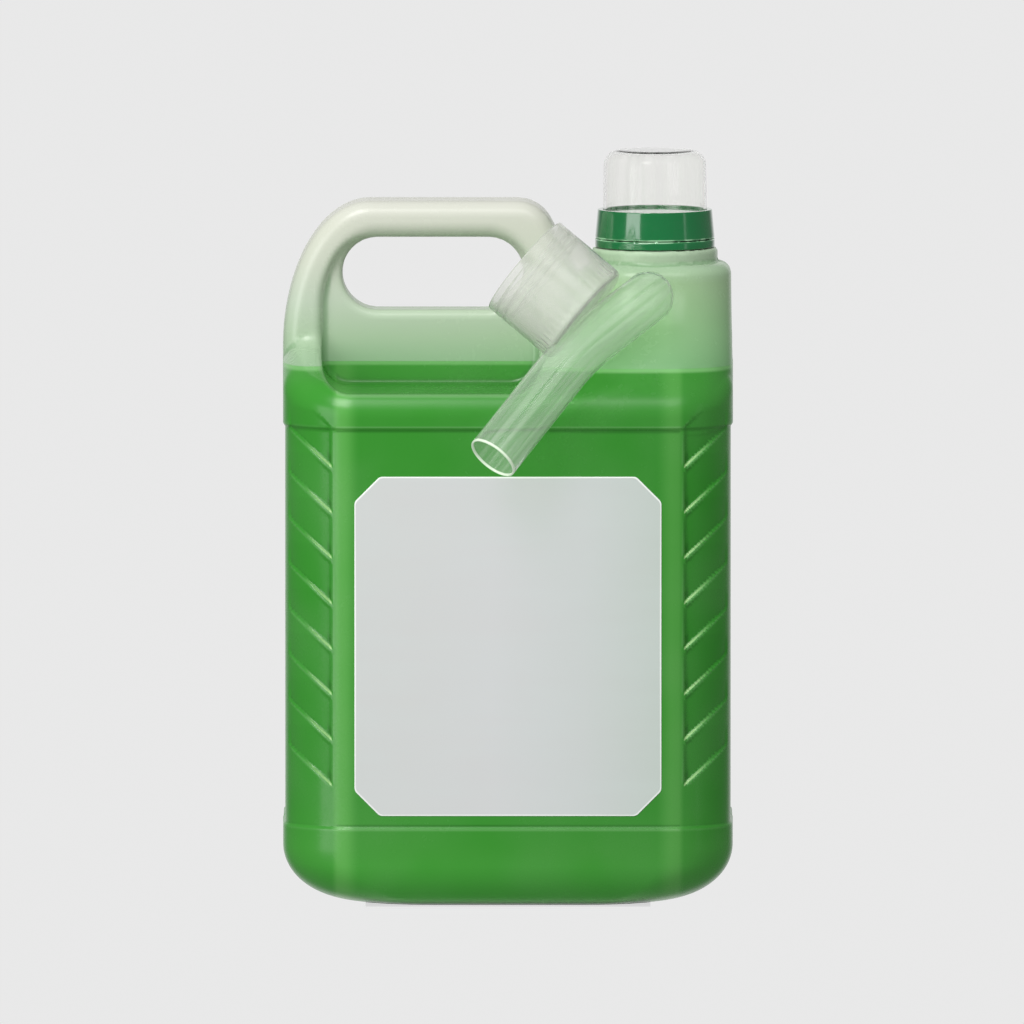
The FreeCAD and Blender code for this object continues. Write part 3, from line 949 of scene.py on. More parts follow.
@dataclass
class Neck:
    """Neck above the ring: the finish with its bead, and a three-start thread."""

    axis_x: float
    ring_top: float
    top: float
    radius: float = 20.8
    bore_radius: float = 18.8
    bead_radius: float = 21.8
    bead_rise: float = 3.9
    bead_height: float = 1.2
    root_depth: float = 16.0
    thread_starts: int = 3
    thread_turn: float = 100.0
    thread_pitch: float = 4.0
    thread_radius: float = 0.62
    thread_drop: float = 1.9
    thread_rings: int = 60

    @classmethod
    def from_skin(cls, skin: JugSkin) -> "Neck":
        """Neck that stands on the skin's ring and ends just under the cap's liner.

        Args:
            skin: the bottle below the neck.

        Returns:
            The sized neck.
        """
        liner_low, _ = box_mm("cap_liner")
        return cls(axis_x=skin.neck_x, ring_top=skin.tower_top + skin.ring_height,
                   top=float(liner_low[2]) - 0.05)

    def finish(self) -> bpy.types.Object:
        """Turned wall with a rounded lip and the bead that holds the tamper band.

        Returns:
            The finished piece.
        """
        bead = self.ring_top + self.bead_rise
        root = self.ring_top - self.root_depth
        corners = (
            (self.bore_radius, root, 0.0), (self.radius, root, 0.0), (self.radius, bead, 0.2),
            (self.bead_radius, bead + 0.2, 0.2),
            (self.bead_radius, bead + self.bead_height - 0.2, 0.3),
            (self.radius, bead + self.bead_height, 0.2), (self.radius, self.top, 0.6),
            (self.bore_radius, self.top, 0.6),
        )
        profile = looped(rounded_profile(corners))
        return turned("neck_finish", profile, 128, np.array([self.axis_x, 0.0, 0.0]))

    def thread(self, start: int) -> bpy.types.Object:
        """One start of the thread: a round ridge on a helix that tapers away at both ends.

        Args:
            start: number of the start, from 0.

        Returns:
            The finished piece.
        """
        turns = np.linspace(0, math.radians(self.thread_turn), self.thread_rings)
        offset = 2 * math.pi * start / self.thread_starts
        foot = self.top - self.thread_drop
        taper = np.sqrt(np.clip(np.sin(np.pi * np.linspace(0, 1, self.thread_rings)), 0, 1))
        origin = np.array([self.axis_x, 0.0, 0.0])

        def outward(turn: np.ndarray) -> np.ndarray:
            """Unit directions away from the axis."""
            return np.stack([np.cos(turn + offset), np.sin(turn + offset), 0 * turn], axis=1)

        def centre(turn: np.ndarray) -> np.ndarray:
            """Points of the helix."""
            rise = foot + self.thread_pitch * turn / (2 * math.pi)
            return origin + outward(turn) * self.radius + np.outer(rise, [0.0, 0.0, 1.0])

        def sides(turn: np.ndarray) -> tuple[np.ndarray, np.ndarray]:
            """Outward and upward directions."""
            return outward(turn), np.repeat([[0.0, 0.0, 1.0]], len(turn), axis=0)

        return carried(f"neck_thread_{start + 1}", turns, self.thread_radius * taper, 12, centre,
                       sides)

    def dress(self, materials: Materials) -> None:
        """Build the finish and every start of the thread in the frosted wall.

        Args:
            materials: the ready materials.
        """
        dressed(self.finish(), Body.JUG, materials.shell)
        for start in range(self.thread_starts):
            dressed(self.thread(start), Body.JUG, materials.shell)


@dataclass
class Label:
    """Blank label: a thin sheet with cut corners, rolled edges and a faint ripple."""

    low: np.ndarray
    high: np.ndarray
    chamfer: float = 10.6
    rounding: float = 3.0
    ripple: float = 0.05
    ripple_waves: tuple[float, float] = (0.11, 0.083)
    ripple_starts: tuple[float, float] = (1.3, 0.4)
    rings: tuple[float, ...] = (0.0, 0.0, 0.12, 0.45, 0.8, 3.0, 9.0, 18.0, 30.0, 45.0, 64.0)
    rim: float = 0.5

    @classmethod
    def from_frame(cls) -> "Label":
        """Label of the frame's size and place."""
        return cls(*box_mm("front_label"))

    def build(self) -> bpy.types.Object:
        """Rings shrink from the outline to the middle; the front face ripples by two sine waves.

        Returns:
            The finished piece.
        """
        left, right = float(self.low[0]), float(self.high[0])
        bottom, top = float(self.low[2]), float(self.high[2])
        cut, soft = self.chamfer, self.rounding
        outline = rounded_profile((
            (left + cut, bottom, soft), (right - cut, bottom, soft), (right, bottom + cut, soft),
            (right, top - cut, soft), (right - cut, top, soft), (left + cut, top, soft),
            (left, top - cut, soft), (left, bottom + cut, soft)), steps=8)
        outline = refined(looped(outline), 2.0)[:-1]
        middle = np.array([(left + right) / 2, (bottom + top) / 2])
        edge = np.array(self.rings)
        reach = np.linalg.norm(outline - middle, axis=1)
        share = np.clip(1.0 - edge[:, None] / reach[None, :], 0.0, 1.0)
        share[-1] = 0.0
        flat = middle + share[..., None] * (outline - middle)[None]
        back, front = float(self.high[1]), float(self.low[1])
        lift = np.array([0.0, 0.6, 0.9] + [1.0] * (len(edge) - 3))[:, None]
        wave = np.prod(np.sin(flat * self.ripple_waves + self.ripple_starts), axis=-1)
        wave = self.ripple * (wave - 1.0) * np.clip(edge[:, None] / 9.0, 0.0, 1.0)
        depth = back + (front - back) * lift - wave
        points = np.stack([flat[..., 0], depth, flat[..., 1]], axis=-1)
        back_pole = np.repeat([[[middle[0], back, middle[1]]]], len(outline), axis=1)
        points = np.concatenate([back_pole, points])
        piece = add_object("label_sheet", points.reshape(-1, 3),
                           grid_faces(len(points), len(outline)))
        store(piece, "rim", np.repeat(np.concatenate([[1.0], edge < self.rim]), len(outline)))
        close_poles(piece)
        return piece

    def dress(self, materials: Materials) -> None:
        """Build the sheet in place of the frame's label."""
        dressed(self.build(), Body.JUG, materials.label, "front_label")


# ---------------------------------------------------------------- cap, band and cup
@dataclass
class Closure:
    """Green screw cap with its tear-off band, both turned about the neck."""

    axis_x: float
    foot: float
    rim: float
    band_low: float
    band_high: float
    cup_radius: float
    foot_radius: float = 25.2
    rim_radius: float = 24.15
    bore_radius: float = 22.1
    deck_bottom: float = 283.1
    deck_top: float = 284.7
    plug_drop: float = 1.0
    plug_gap: float = 0.35
    side_gap: float = 0.06
    cup_wall: float = 1.1
    band_bore: float = 21.5
    band_overhang: float = 0.1
    bridges: int = 16
    bridge_turn: float = 3.0

    @classmethod
    def from_frame(cls, skin: JugSkin) -> "Closure":
        """Closure between the heights that the frame gives.

        Args:
            skin: the bottle below the cap.

        Returns:
            The sized closure.
        """
        cap_low, cap_high = box_mm("screw_cap")
        band_low, band_high = box_mm("tamper_band")
        cup_low, cup_high = box_mm("dosing_cup")
        return cls(axis_x=skin.neck_x, foot=float(cap_low[2]), rim=float(cap_high[2]),
                   band_low=float(band_low[2]), band_high=float(band_high[2]),
                   cup_radius=float(cup_high[0] - cup_low[0]) / 2)

    @property
    def axis(self) -> np.ndarray:
        """Point of the neck's axis at the ground."""
        return np.array([self.axis_x, 0.0, 0.0])

    def cap(self) -> bpy.types.Object:
        """Cap: skirt, rim, the groove that the cup stands in, and the raised middle.

        Returns:
            The finished piece.
        """
        recess = self.cup_radius + self.side_gap
        plug = self.cup_radius - self.cup_wall - self.plug_gap
        top = self.rim - self.plug_drop
        corners = (
            (0.0, self.deck_bottom, 0.0), (self.bore_radius, self.deck_bottom, 0.4),
            (self.bore_radius, self.foot, 0.25), (self.foot_radius, self.foot, 0.3),
            (self.foot_radius - 0.05, self.foot + 0.9, 0.5), (self.rim_radius, self.rim, 0.35),
            (recess, self.rim, 0.3), (recess, self.deck_top, 0.3), (plug, self.deck_top, 0.3),
            (plug, top, 0.8), (0.0, top, 0.0),
        )
        profile = rounded_profile(corners, closed=False)
        return turned("cap_skin", refined(profile, 1.5), 160, self.axis)

    def band(self) -> bpy.types.Object:
        """Band whose top edge rises in narrow bridges up to the cap's foot.

        Returns:
            The finished piece.
        """
        outer = self.foot_radius + self.band_overhang
        corners = (
            (self.band_bore, self.band_low, 0.2), (outer, self.band_low, 0.4),
            (outer, self.band_high, 0.9), (self.band_bore, self.band_high, 0.2),
        )
        profile = looped(rounded_profile(corners))
        turn = np.linspace(0, 2 * math.pi, 480, endpoint=False)
        phase = (turn * self.bridges / (2 * math.pi)) % 1.0 * 360.0 / self.bridges
        bump = smooth_step(phase, 0.0, 1.0)
        bump = bump * smooth_step(-phase, -self.bridge_turn, 1.0 - self.bridge_turn)
        rise = (self.foot - self.band_high - 0.02) * bump
        is_top = smooth_step(profile[:, 1], self.band_high - 0.5, self.band_high - 0.3)
        height = profile[:, 1][:, None] + is_top[:, None] * rise[None, :]
        radius = profile[:, 0][:, None]
        points = np.stack([self.axis_x + radius * np.cos(turn)[None, :],
                           radius * np.sin(turn)[None, :], height], axis=-1)
        piece = add_object("band_ring", points.reshape(-1, 3), grid_faces(len(profile), len(turn)))
        close_poles(piece)
        return piece

    def dress(self, materials: Materials) -> None:
        """Build the band and the cap, and dress the frame's own liner between cap and neck.

        Args:
            materials: the ready materials.
        """
        dressed(self.band(), Body.JUG, materials.cap, "tamper_band")
        dressed(self.cap(), Body.CAP, materials.cap, "screw_cap")
        liner = frame["nodes"]["cap_liner"].data
        liner.materials.clear()
        liner.materials.append(materials.liner)


@dataclass
class Cup:
    """Clear dosing cup that stands mouth down in the cap."""

    axis_x: float
    radius: float
    bottom: float
    top: float
    wall: float = 1.1
    taper: float = 0.5
    corner: float = 6.5

    @classmethod
    def from_frame(cls, skin: JugSkin) -> "Cup":
        """Cup of the frame's radius and heights.

        Args:
            skin: the bottle below the cup.

        Returns:
            The sized cup.
        """
        low, high = box_mm("dosing_cup")
        return cls(axis_x=skin.neck_x, radius=float(high[0] - low[0]) / 2,
                   bottom=float(low[2]), top=float(high[2]))

    def build(self) -> bpy.types.Object:
        """Turned shell with a rounded closed end and a rounded lip.

        Returns:
            The finished piece.
        """
        narrow = self.radius - self.taper
        inner = narrow - self.wall
        corners = (
            (0.0, self.top, 0.0), (narrow, self.top, self.corner), (self.radius, self.bottom, 0.35),
            (self.radius - self.wall, self.bottom, 0.35),
            (inner, self.top - self.wall, self.corner - self.wall),
            (0.0, self.top - self.wall, 0.0),
        )
        profile = rounded_profile(corners, closed=False, steps=10)
        return turned("cup_shell", refined(profile, 2.0), 160, np.array([self.axis_x, 0.0, 0.0]))

    def dress(self, materials: Materials) -> None:
        """Build the cup in place of the frame's dosing cup."""
        dressed(self.build(), Body.CUP, materials.cup, "dosing_cup")


# ---------------------------------------------------------------- spout
@dataclass
class Spout:
    """Clear spout: a socket for the neck, and a bent tube under its closed end."""

    socket_middle: np.ndarray
    out: np.ndarray
    socket_bore: float
    socket_depth: float
    tail_middle: np.ndarray
    tail: np.ndarray
    tube_bore: float
    tail_length: float
    socket_wall: float = 1.1
    tube_wall: float = 0.9
    bend_angle: float = 13.0
    bend_radius: float = 110.0
    head_length: float = 28.0
    rib_count: int = 44
    rib_height: float = 0.35
    thread_pitch: float = 4.0
    thread_turns: float = 2.2
    thread_radius: float = 0.7
    thread_set_in: float = 3.0
    thread_rings: int = 150
    tube_rings: int = 40
    segments: int = 96

    @classmethod
    def from_record(cls) -> "Spout":
        """Spout whose socket and tube lie on the record's two bores.

        Returns:
            The sized spout.
        """
        socket, tube = mount("spout_socket"), mount("spout_tube")
        return cls(np.array(socket["pos_m"]) / MM, unit(np.array(socket["axis"])),
                   socket["dims"]["r_mm"], socket["dims"]["length_mm"],
                   np.array(tube["pos_m"]) / MM, unit(np.array(tube["axis"])),
                   tube["dims"]["r_mm"], tube["dims"]["length_mm"])

    @property
    def across(self) -> np.ndarray:
        """Unit direction across the socket's axis, in the plane of the bend."""
        return unit(self.tail - self.out * (self.out @ self.tail))

    @property
    def bend_length(self) -> float:
        """Length of the tube's centre line in the bend."""
        return self.bend_radius * math.radians(self.bend_angle)

    @property
    def length(self) -> float:
        """Length of the tube's centre line from its closed end to its mouth."""
        return self.head_length + self.bend_length + self.tail_length

    def heading(self, station: np.ndarray) -> np.ndarray:
        """Direction of the tube: its angle from the socket's axis grows evenly in the bend.

        Args:
            station: distances along the centre line.

        Returns:
            Unit directions.
        """
        last = math.acos(float(self.out @ self.tail))
        turn = np.clip(station - self.head_length, 0.0, self.bend_length) / self.bend_radius
        angle = last - math.radians(self.bend_angle) + turn
        return np.outer(np.cos(angle), self.out) + np.outer(np.sin(angle), self.across)

    def centre(self, station: np.ndarray) -> np.ndarray:
        """Centre line: straight head, circular bend and straight tail.

        In the bend the point is its start plus the radius times the difference of (sine, minus
        cosine) of the heading's angle.

        Args:
            station: distances along the centre line.

        Returns:
            Points of the line.
        """
        bend_end = self.tail_middle - self.tail * self.tail_length / 2
        last = math.acos(float(self.out @ self.tail))
        first = last - math.radians(self.bend_angle)
        turn = first + np.clip(station - self.head_length, 0.0, self.bend_length) / self.bend_radius
        along_out = self.bend_radius * (np.sin(turn) - math.sin(last))
        along_across = -self.bend_radius * (np.cos(turn) - math.cos(last))
        points = bend_end + np.outer(along_out, self.out) + np.outer(along_across, self.across)
        before = np.minimum(station - self.head_length, 0.0)
        after = np.maximum(station - self.head_length - self.bend_length, 0.0)
        return points + self.heading(station) * (before + after)[:, None]

    def sides(self, station: np.ndarray) -> tuple[np.ndarray, np.ndarray]:
        """Directions across the tube: out of the bend's plane, and in it.

        Args:
            station: distances along the centre line.

        Returns:
            The two unit directions.
        """
        normal = np.repeat(unit(np.cross(self.out, self.across))[None], len(station), axis=0)
        return normal, np.cross(self.heading(station), normal)

    def tube(self) -> bpy.types.Object:
        """Tube wall: outside from the round closed end to the mouth's lip, then back inside.

        Returns:
            The finished piece.
        """
        bore, outer = self.tube_bore, self.tube_bore + self.tube_wall
        length = self.length
        lip = self.tube_wall / 2
        angle = np.linspace(0, math.pi / 2, 13)
        lip_angle = np.linspace(0, math.pi, 9)
        straight = np.linspace(0, length - lip, self.tube_rings)
        stations = np.concatenate([-outer * np.cos(angle), straight[1:-1],
                                   length - lip + lip * np.sin(lip_angle),
                                   straight[::-1][1:-1], -bore * np.cos(angle[::-1])])
        radii = np.concatenate([outer * np.sin(angle), np.full(self.tube_rings - 2, outer),
                                outer - lip + lip * np.cos(lip_angle),
                                np.full(self.tube_rings - 2, bore), bore * np.sin(angle[::-1])])
        return carried("spout_tube", stations, radii, self.segments, self.centre, self.sides)

    def socket(self) -> bpy.types.Object:
        """Socket with a rolled mouth, a rounded foot and a ring of short ribs near the foot.

        Returns:
            The finished piece.
        """
        bore, outer = self.socket_bore, self.socket_bore + self.socket_wall
        floor, mouth = self.socket_wall, self.socket_wall + self.socket_depth
        corners = (
            (0.0, 0.0, 0.0), (outer, 0.0, 2.0), (outer, mouth, 0.5), (bore, mouth, 0.5),
            (bore, floor, 1.0), (0.0, floor, 0.0),
        )
        profile = refined(rounded_profile(corners, closed=False), 1.2)

        def ribs(height: np.ndarray, turn: np.ndarray) -> np.ndarray:
            """Ribs: a cosine round the socket, kept to a short band above the foot."""
            band = smooth_step(height, 2.0, 2.6) * smooth_step(-height, -8.0, -7.4)
            return -self.rib_height * band * (0.5 + 0.5 * np.cos(self.rib_count * turn))

        origin = self.socket_middle - self.out * (self.socket_depth / 2 + self.socket_wall)
        return turned("spout_socket", profile, self.rib_count * 6, origin, self.out, ribs)

    def thread(self) -> bpy.types.Object:
        """Ridge on a helix inside the socket's mouth.

        Returns:
            The finished piece.
        """
        turns = np.linspace(0, 2 * math.pi * self.thread_turns, self.thread_rings)
        taper = np.sqrt(np.clip(np.sin(np.pi * np.linspace(0, 1, self.thread_rings)) * 4, 0, 1))
        height = self.thread_pitch * self.thread_turns + self.thread_set_in
        foot = self.socket_middle + self.out * (self.socket_depth / 2 - height)
        second = np.cross(self.out, self.across)

        def outward(turn: np.ndarray) -> np.ndarray:
            """Unit directions away from the socket's axis."""
            return np.outer(np.cos(turn), self.across) + np.outer(np.sin(turn), second)

        def centre(turn: np.ndarray) -> np.ndarray:
            """Points of the helix."""
            rise = np.outer(self.thread_pitch * turn / (2 * math.pi), self.out)
            return foot + outward(turn) * self.socket_bore + rise

        def sides(turn: np.ndarray) -> tuple[np.ndarray, np.ndarray]:
            """Outward direction and the socket's axis."""
            return outward(turn), np.repeat(self.out[None], len(turn), axis=0)

        return carried("spout_thread", turns, self.thread_radius * taper, 10, centre, sides)

    def dress(self, materials: Materials) -> None:
        """Build tube, socket and thread; the tube stands for the frame's spout.

        Args:
            materials: the ready materials.
        """
        dressed(self.tube(), Body.SPOUT, materials.tube, "pouring_spout")
        dressed(self.socket(), Body.SPOUT, materials.socket)
        dressed(self.thread(), Body.SPOUT, materials.socket)


# ---------------------------------------------------------------- colours
def linear(red: float, green: float, blue: float) -> Colour:
    """Linear colour of display values: ((v + 0.055) / 1.055) ^ 2.4, and v / 12.92 near black.

    Args:
        red: red between 0 and 255.
        green: green between 0 and 255.
        blue: blue between 0 and 255.

    Returns:
        The three linear values.
    """
    def channel(value: float) -> float:
        """One channel's linear value."""
        share = value / 255
        return share / 12.92 if share <= 0.04045 else ((share + 0.055) / 1.055) ** 2.4

    return channel(red), channel(green), channel(blue)


def stops(*rows: tuple[float, float, float, float]) -> Stops:
    """Stops of a colour ramp, from rows of a place and the three display values of its colour."""
    return tuple((place, linear(*display)) for place, *display in rows)


# ---------------------------------------------------------------- node writing
class Reckoning(str, Enum):
    """What a math node works out."""

    ADD = "ADD"
    SUBTRACT = "SUBTRACT"
    MULTIPLY = "MULTIPLY"
    DIVIDE = "DIVIDE"
    LARGER = "MAXIMUM"
    WITHOUT_SIGN = "ABSOLUTE"
    REMAINDER = "FLOORED_MODULO"


class Graph:
    """Small writer for a node tree: adds nodes, sets constants and links sockets."""

    def __init__(self, tree: bpy.types.NodeTree) -> None:
        """Start writing in the node tree of a material, world or group."""
        self.tree = tree

    def node(self, kind: str, **settings: object) -> bpy.types.Node:
        """Add a node.

        Args:
            kind: type of the node.
            settings: its plain settings by their names.

        Returns:
            The new node.
        """
        result = self.tree.nodes.new(kind)
        for name, value in settings.items():
            setattr(result, name, value)
        return result

    def feed(self, node: bpy.types.Node, values: dict[object, object]) -> bpy.types.Node:
        """Link inputs of a node to other sockets, or set their constants.

        Args:
            node: the node that is fed.
            values: a socket or a constant for each input, by the input's name or number.

        Returns:
            The same node.
        """
        for key, value in values.items():
            socket = node.inputs[key]
            if isinstance(value, Socket):
                self.tree.links.new(value, socket)
            elif isinstance(value, tuple) and len(value) == 3 and socket.type == "RGBA":
                socket.default_value = (*value, 1.0)
            else:
                socket.default_value = value
        return node

    def math(self, kind: Reckoning, *values: object) -> Socket:
        """Result of a math node, clamped by nothing."""
        node = self.node("ShaderNodeMath", operation=kind.value)
        return self.feed(node, dict(enumerate(values))).outputs[0]

    def times(self, first: object, *others: object) -> Socket:
        """Product of several values, taken in their order.

        Args:
            first: the first value.
            others: what it is multiplied by.

        Returns:
            The product.
        """
        for other in others:
            first = self.math(Reckoning.MULTIPLY, first, other)
        return first

    def less(self, first: object, second: object) -> Socket:
        """Difference of two values."""
        return self.math(Reckoning.SUBTRACT, first, second)

    def ramp(self, value: object, start: float, end: float, low: object = 0.0,
             high: object = 1.0) -> Socket:
        """Value carried smoothly from one range to another.

        Args:
            value: what is carried over.
            start: value that gives the low end.
            end: value that gives the high end.
            low: result at the start.
            high: result at the end.

        Returns:
            The result, which stays level beyond the ends.
        """
        node = self.node("ShaderNodeMapRange", interpolation_type="SMOOTHSTEP")
        self.feed(node, {"Value": value, "From Min": start, "From Max": end, "To Min": low,
                         "To Max": high})
        return node.outputs["Result"]

    def window(self, value: object, edges: Sequence[float], scale: float = 1.0) -> Socket:
        """Mask between four edges: the product of a rising and a falling ramp.

        Args:
            value: what the mask depends on.
            edges: where the mask starts to rise, is full, starts to fall and has ended.
            scale: length of one unit of the edges.

        Returns:
            Mask between 0 and 1.
        """
        rise, full, fall, end = (edge * scale for edge in edges)
        return self.times(self.ramp(value, rise, full), self.ramp(value, end, fall))

    def mix(self, share: object, first: object, second: object) -> Socket:
        """Mix of two colours."""
        node = self.node("ShaderNodeMix", data_type="RGBA", blend_type="MIX")
        return self.feed(node, {0: share, 6: first, 7: second}).outputs[2]

    def tint(self, colour: object, mask: object, strength: float, tone: Colour) -> Socket:
        """Colour carried towards a tone by a mask times a strength."""
        return self.mix(self.times(mask, strength), colour, tone)

    def noise(self, place: object, scale: object, detail: float = 3.0) -> Socket:
        """Height of a noise texture at a place."""
        node = self.node("ShaderNodeTexNoise")
        return self.feed(node, {"Vector": place, "Scale": scale, "Detail": detail}).outputs["Fac"]

    def curve(self, value: object, places: Stops) -> Socket:
        """Colour ramp.

        Args:
            value: where the ramp is read, between 0 and 1.
            places: its stops.

        Returns:
            Colour at the value.
        """
        node = self.node("ShaderNodeValToRGB")
        ramp = node.color_ramp
        while len(ramp.elements) < len(places):
            ramp.elements.new(0.5)
        for element, (place, colour) in zip(ramp.elements, places):
            element.position = place
            element.color = (*colour, 1.0)
        return self.feed(node, {"Fac": value}).outputs["Color"]

    def place(self) -> Socket:
        """Object coordinates of the material's piece."""
        return self.node("ShaderNodeTexCoord").outputs["Object"]

    def attribute(self, name: str) -> bpy.types.Node:
        """Reader of a mesh attribute."""
        return self.node("ShaderNodeAttribute", attribute_name=name)

    def coordinates(self, vector: Socket) -> tuple[Socket, ...]:
        """The three coordinates of a vector."""
        return tuple(self.feed(self.node("ShaderNodeSeparateXYZ"), {0: vector}).outputs)


def new_material(name: str) -> tuple[bpy.types.Material, Graph, bpy.types.Node]:
    """Empty material.

    Args:
        name: name of the material.

    Returns:
        The material, its writer and its Principled shader.
    """
    material = bpy.data.materials.new(name)
    material.use_nodes = True
    shader = next(node for node in material.node_tree.nodes if node.type == "BSDF_PRINCIPLED")
    return material, Graph(material.node_tree), shader


# ---------------------------------------------------------------- finishes
@dataclass(frozen=True)
class MouldedSurface:
    """Shared shader group for moulded plastic: blotches, fine grain and sparse rubbed spots."""

    blotch_scale: float = 22.0
    wave_scale: float = 60.0
    spot_scale: float = 260.0
    grain_height: float = 0.12
    depth: float = 0.0006
    rubbed_from: float = 0.30
    rubbed_to: float = 0.40

    def build(self) -> bpy.types.NodeTree:
        """Group with the inputs Place, Grain and Bump.

        Returns:
            The group, which puts out Blotch, Rub and Normal.
        """
        tree = bpy.data.node_groups.new("moulded_surface", "ShaderNodeTree")
        for side, label, kind, value in (
                ("INPUT", "Place", "NodeSocketVector", None),
                ("INPUT", "Grain", "NodeSocketFloat", 900.0),
                ("INPUT", "Bump", "NodeSocketFloat", 0.1),
                ("OUTPUT", "Blotch", "NodeSocketFloat", None),
                ("OUTPUT", "Rub", "NodeSocketFloat", None),
                ("OUTPUT", "Normal", "NodeSocketVector", None)):
            socket = tree.interface.new_socket(label, in_out=side, socket_type=kind)
            if value is not None:
                socket.default_value = value
        graph = Graph(tree)
        start, end = graph.node("NodeGroupInput"), graph.node("NodeGroupOutput")
        place = start.outputs["Place"]
        blotch = graph.noise(place, self.blotch_scale, 2.0)
        grain = graph.noise(place, start.outputs["Grain"], 2.0)
        waves = graph.noise(place, self.wave_scale, 2.0)
        spots = graph.noise(place, self.spot_scale, 4.0)
        height = graph.math(Reckoning.ADD, graph.times(grain, self.grain_height), waves)
        bump = graph.feed(graph.node("ShaderNodeBump"), {
            "Strength": start.outputs["Bump"], "Distance": self.depth, "Height": height})
        rub = graph.ramp(graph.times(spots, blotch), self.rubbed_from, self.rubbed_to)
        graph.feed(end, {"Blotch": blotch, "Rub": rub, "Normal": bump.outputs["Normal"]})
        return tree


def moulded(graph: Graph, group: bpy.types.NodeTree, grain: float,
            bump: float) -> tuple[Socket, Socket, Socket]:
    """Moulded surface in a material, read at the piece's own coordinates.

    Args:
        graph: writer of the material.
        group: the moulded surface group.
        grain: scale of the grain.
        bump: strength of the relief.

    Returns:
        The group's blotch, rub and normal.
    """
    node = graph.node("ShaderNodeGroup", node_tree=group)
    graph.feed(node, {"Place": graph.place(), "Grain": grain, "Bump": bump})
    return tuple(node.outputs[name] for name in ("Blotch", "Rub", "Normal"))


@dataclass(frozen=True)
class Finish:
    """Plastic finish whose colour and roughness vary a little over the piece.

    Where lip is a height in millimetres, a broken painted highlight runs round the piece there.
    """

    name: str
    colour: Colour
    deep: Colour
    roughness: float = 0.4
    rubbed: float = 0.5
    grain: float = 900.0
    bump: float = 0.1
    coat: float = 0.0
    coat_roughness: float = 0.15
    specular: float = 0.5
    lip: float = 0.0
    lip_highlight_edges: tuple[float, ...] = (-1.0, -0.5, 0.2, 0.8)
    lip_highlight_breaks: float = 130.0
    lip_highlight_tone: Colour = linear(176, 226, 184)

    def build(self, group: bpy.types.NodeTree) -> bpy.types.Material:
        """Material from the finish.

        Args:
            group: the moulded surface group.

        Returns:
            The new material.
        """
        material, graph, shader = new_material(self.name)
        blotch, rub, normal = moulded(graph, group, self.grain, self.bump)
        colour = graph.mix(graph.ramp(blotch, 0.35, 0.65), self.deep, self.colour)
        # Painted highlight: a broken light line round the piece at the lip's height.
        if self.lip > 0:
            height = graph.coordinates(graph.place())[2]
            line = graph.window(height, [self.lip + edge for edge in self.lip_highlight_edges], MM)
            broken = graph.noise(graph.place(), self.lip_highlight_breaks, 1.0)
            broken = graph.ramp(broken, 0.42, 0.52, 0.25, 0.95)
            colour = graph.mix(graph.times(line, broken), colour, self.lip_highlight_tone)
        graph.feed(shader, {
            "Base Color": colour, "Normal": normal,
            "Roughness": graph.ramp(rub, 0.0, 1.0, self.roughness, self.rubbed),
            "Coat Weight": self.coat, "Coat Roughness": self.coat_roughness,
            "Specular IOR Level": self.specular})
        return material


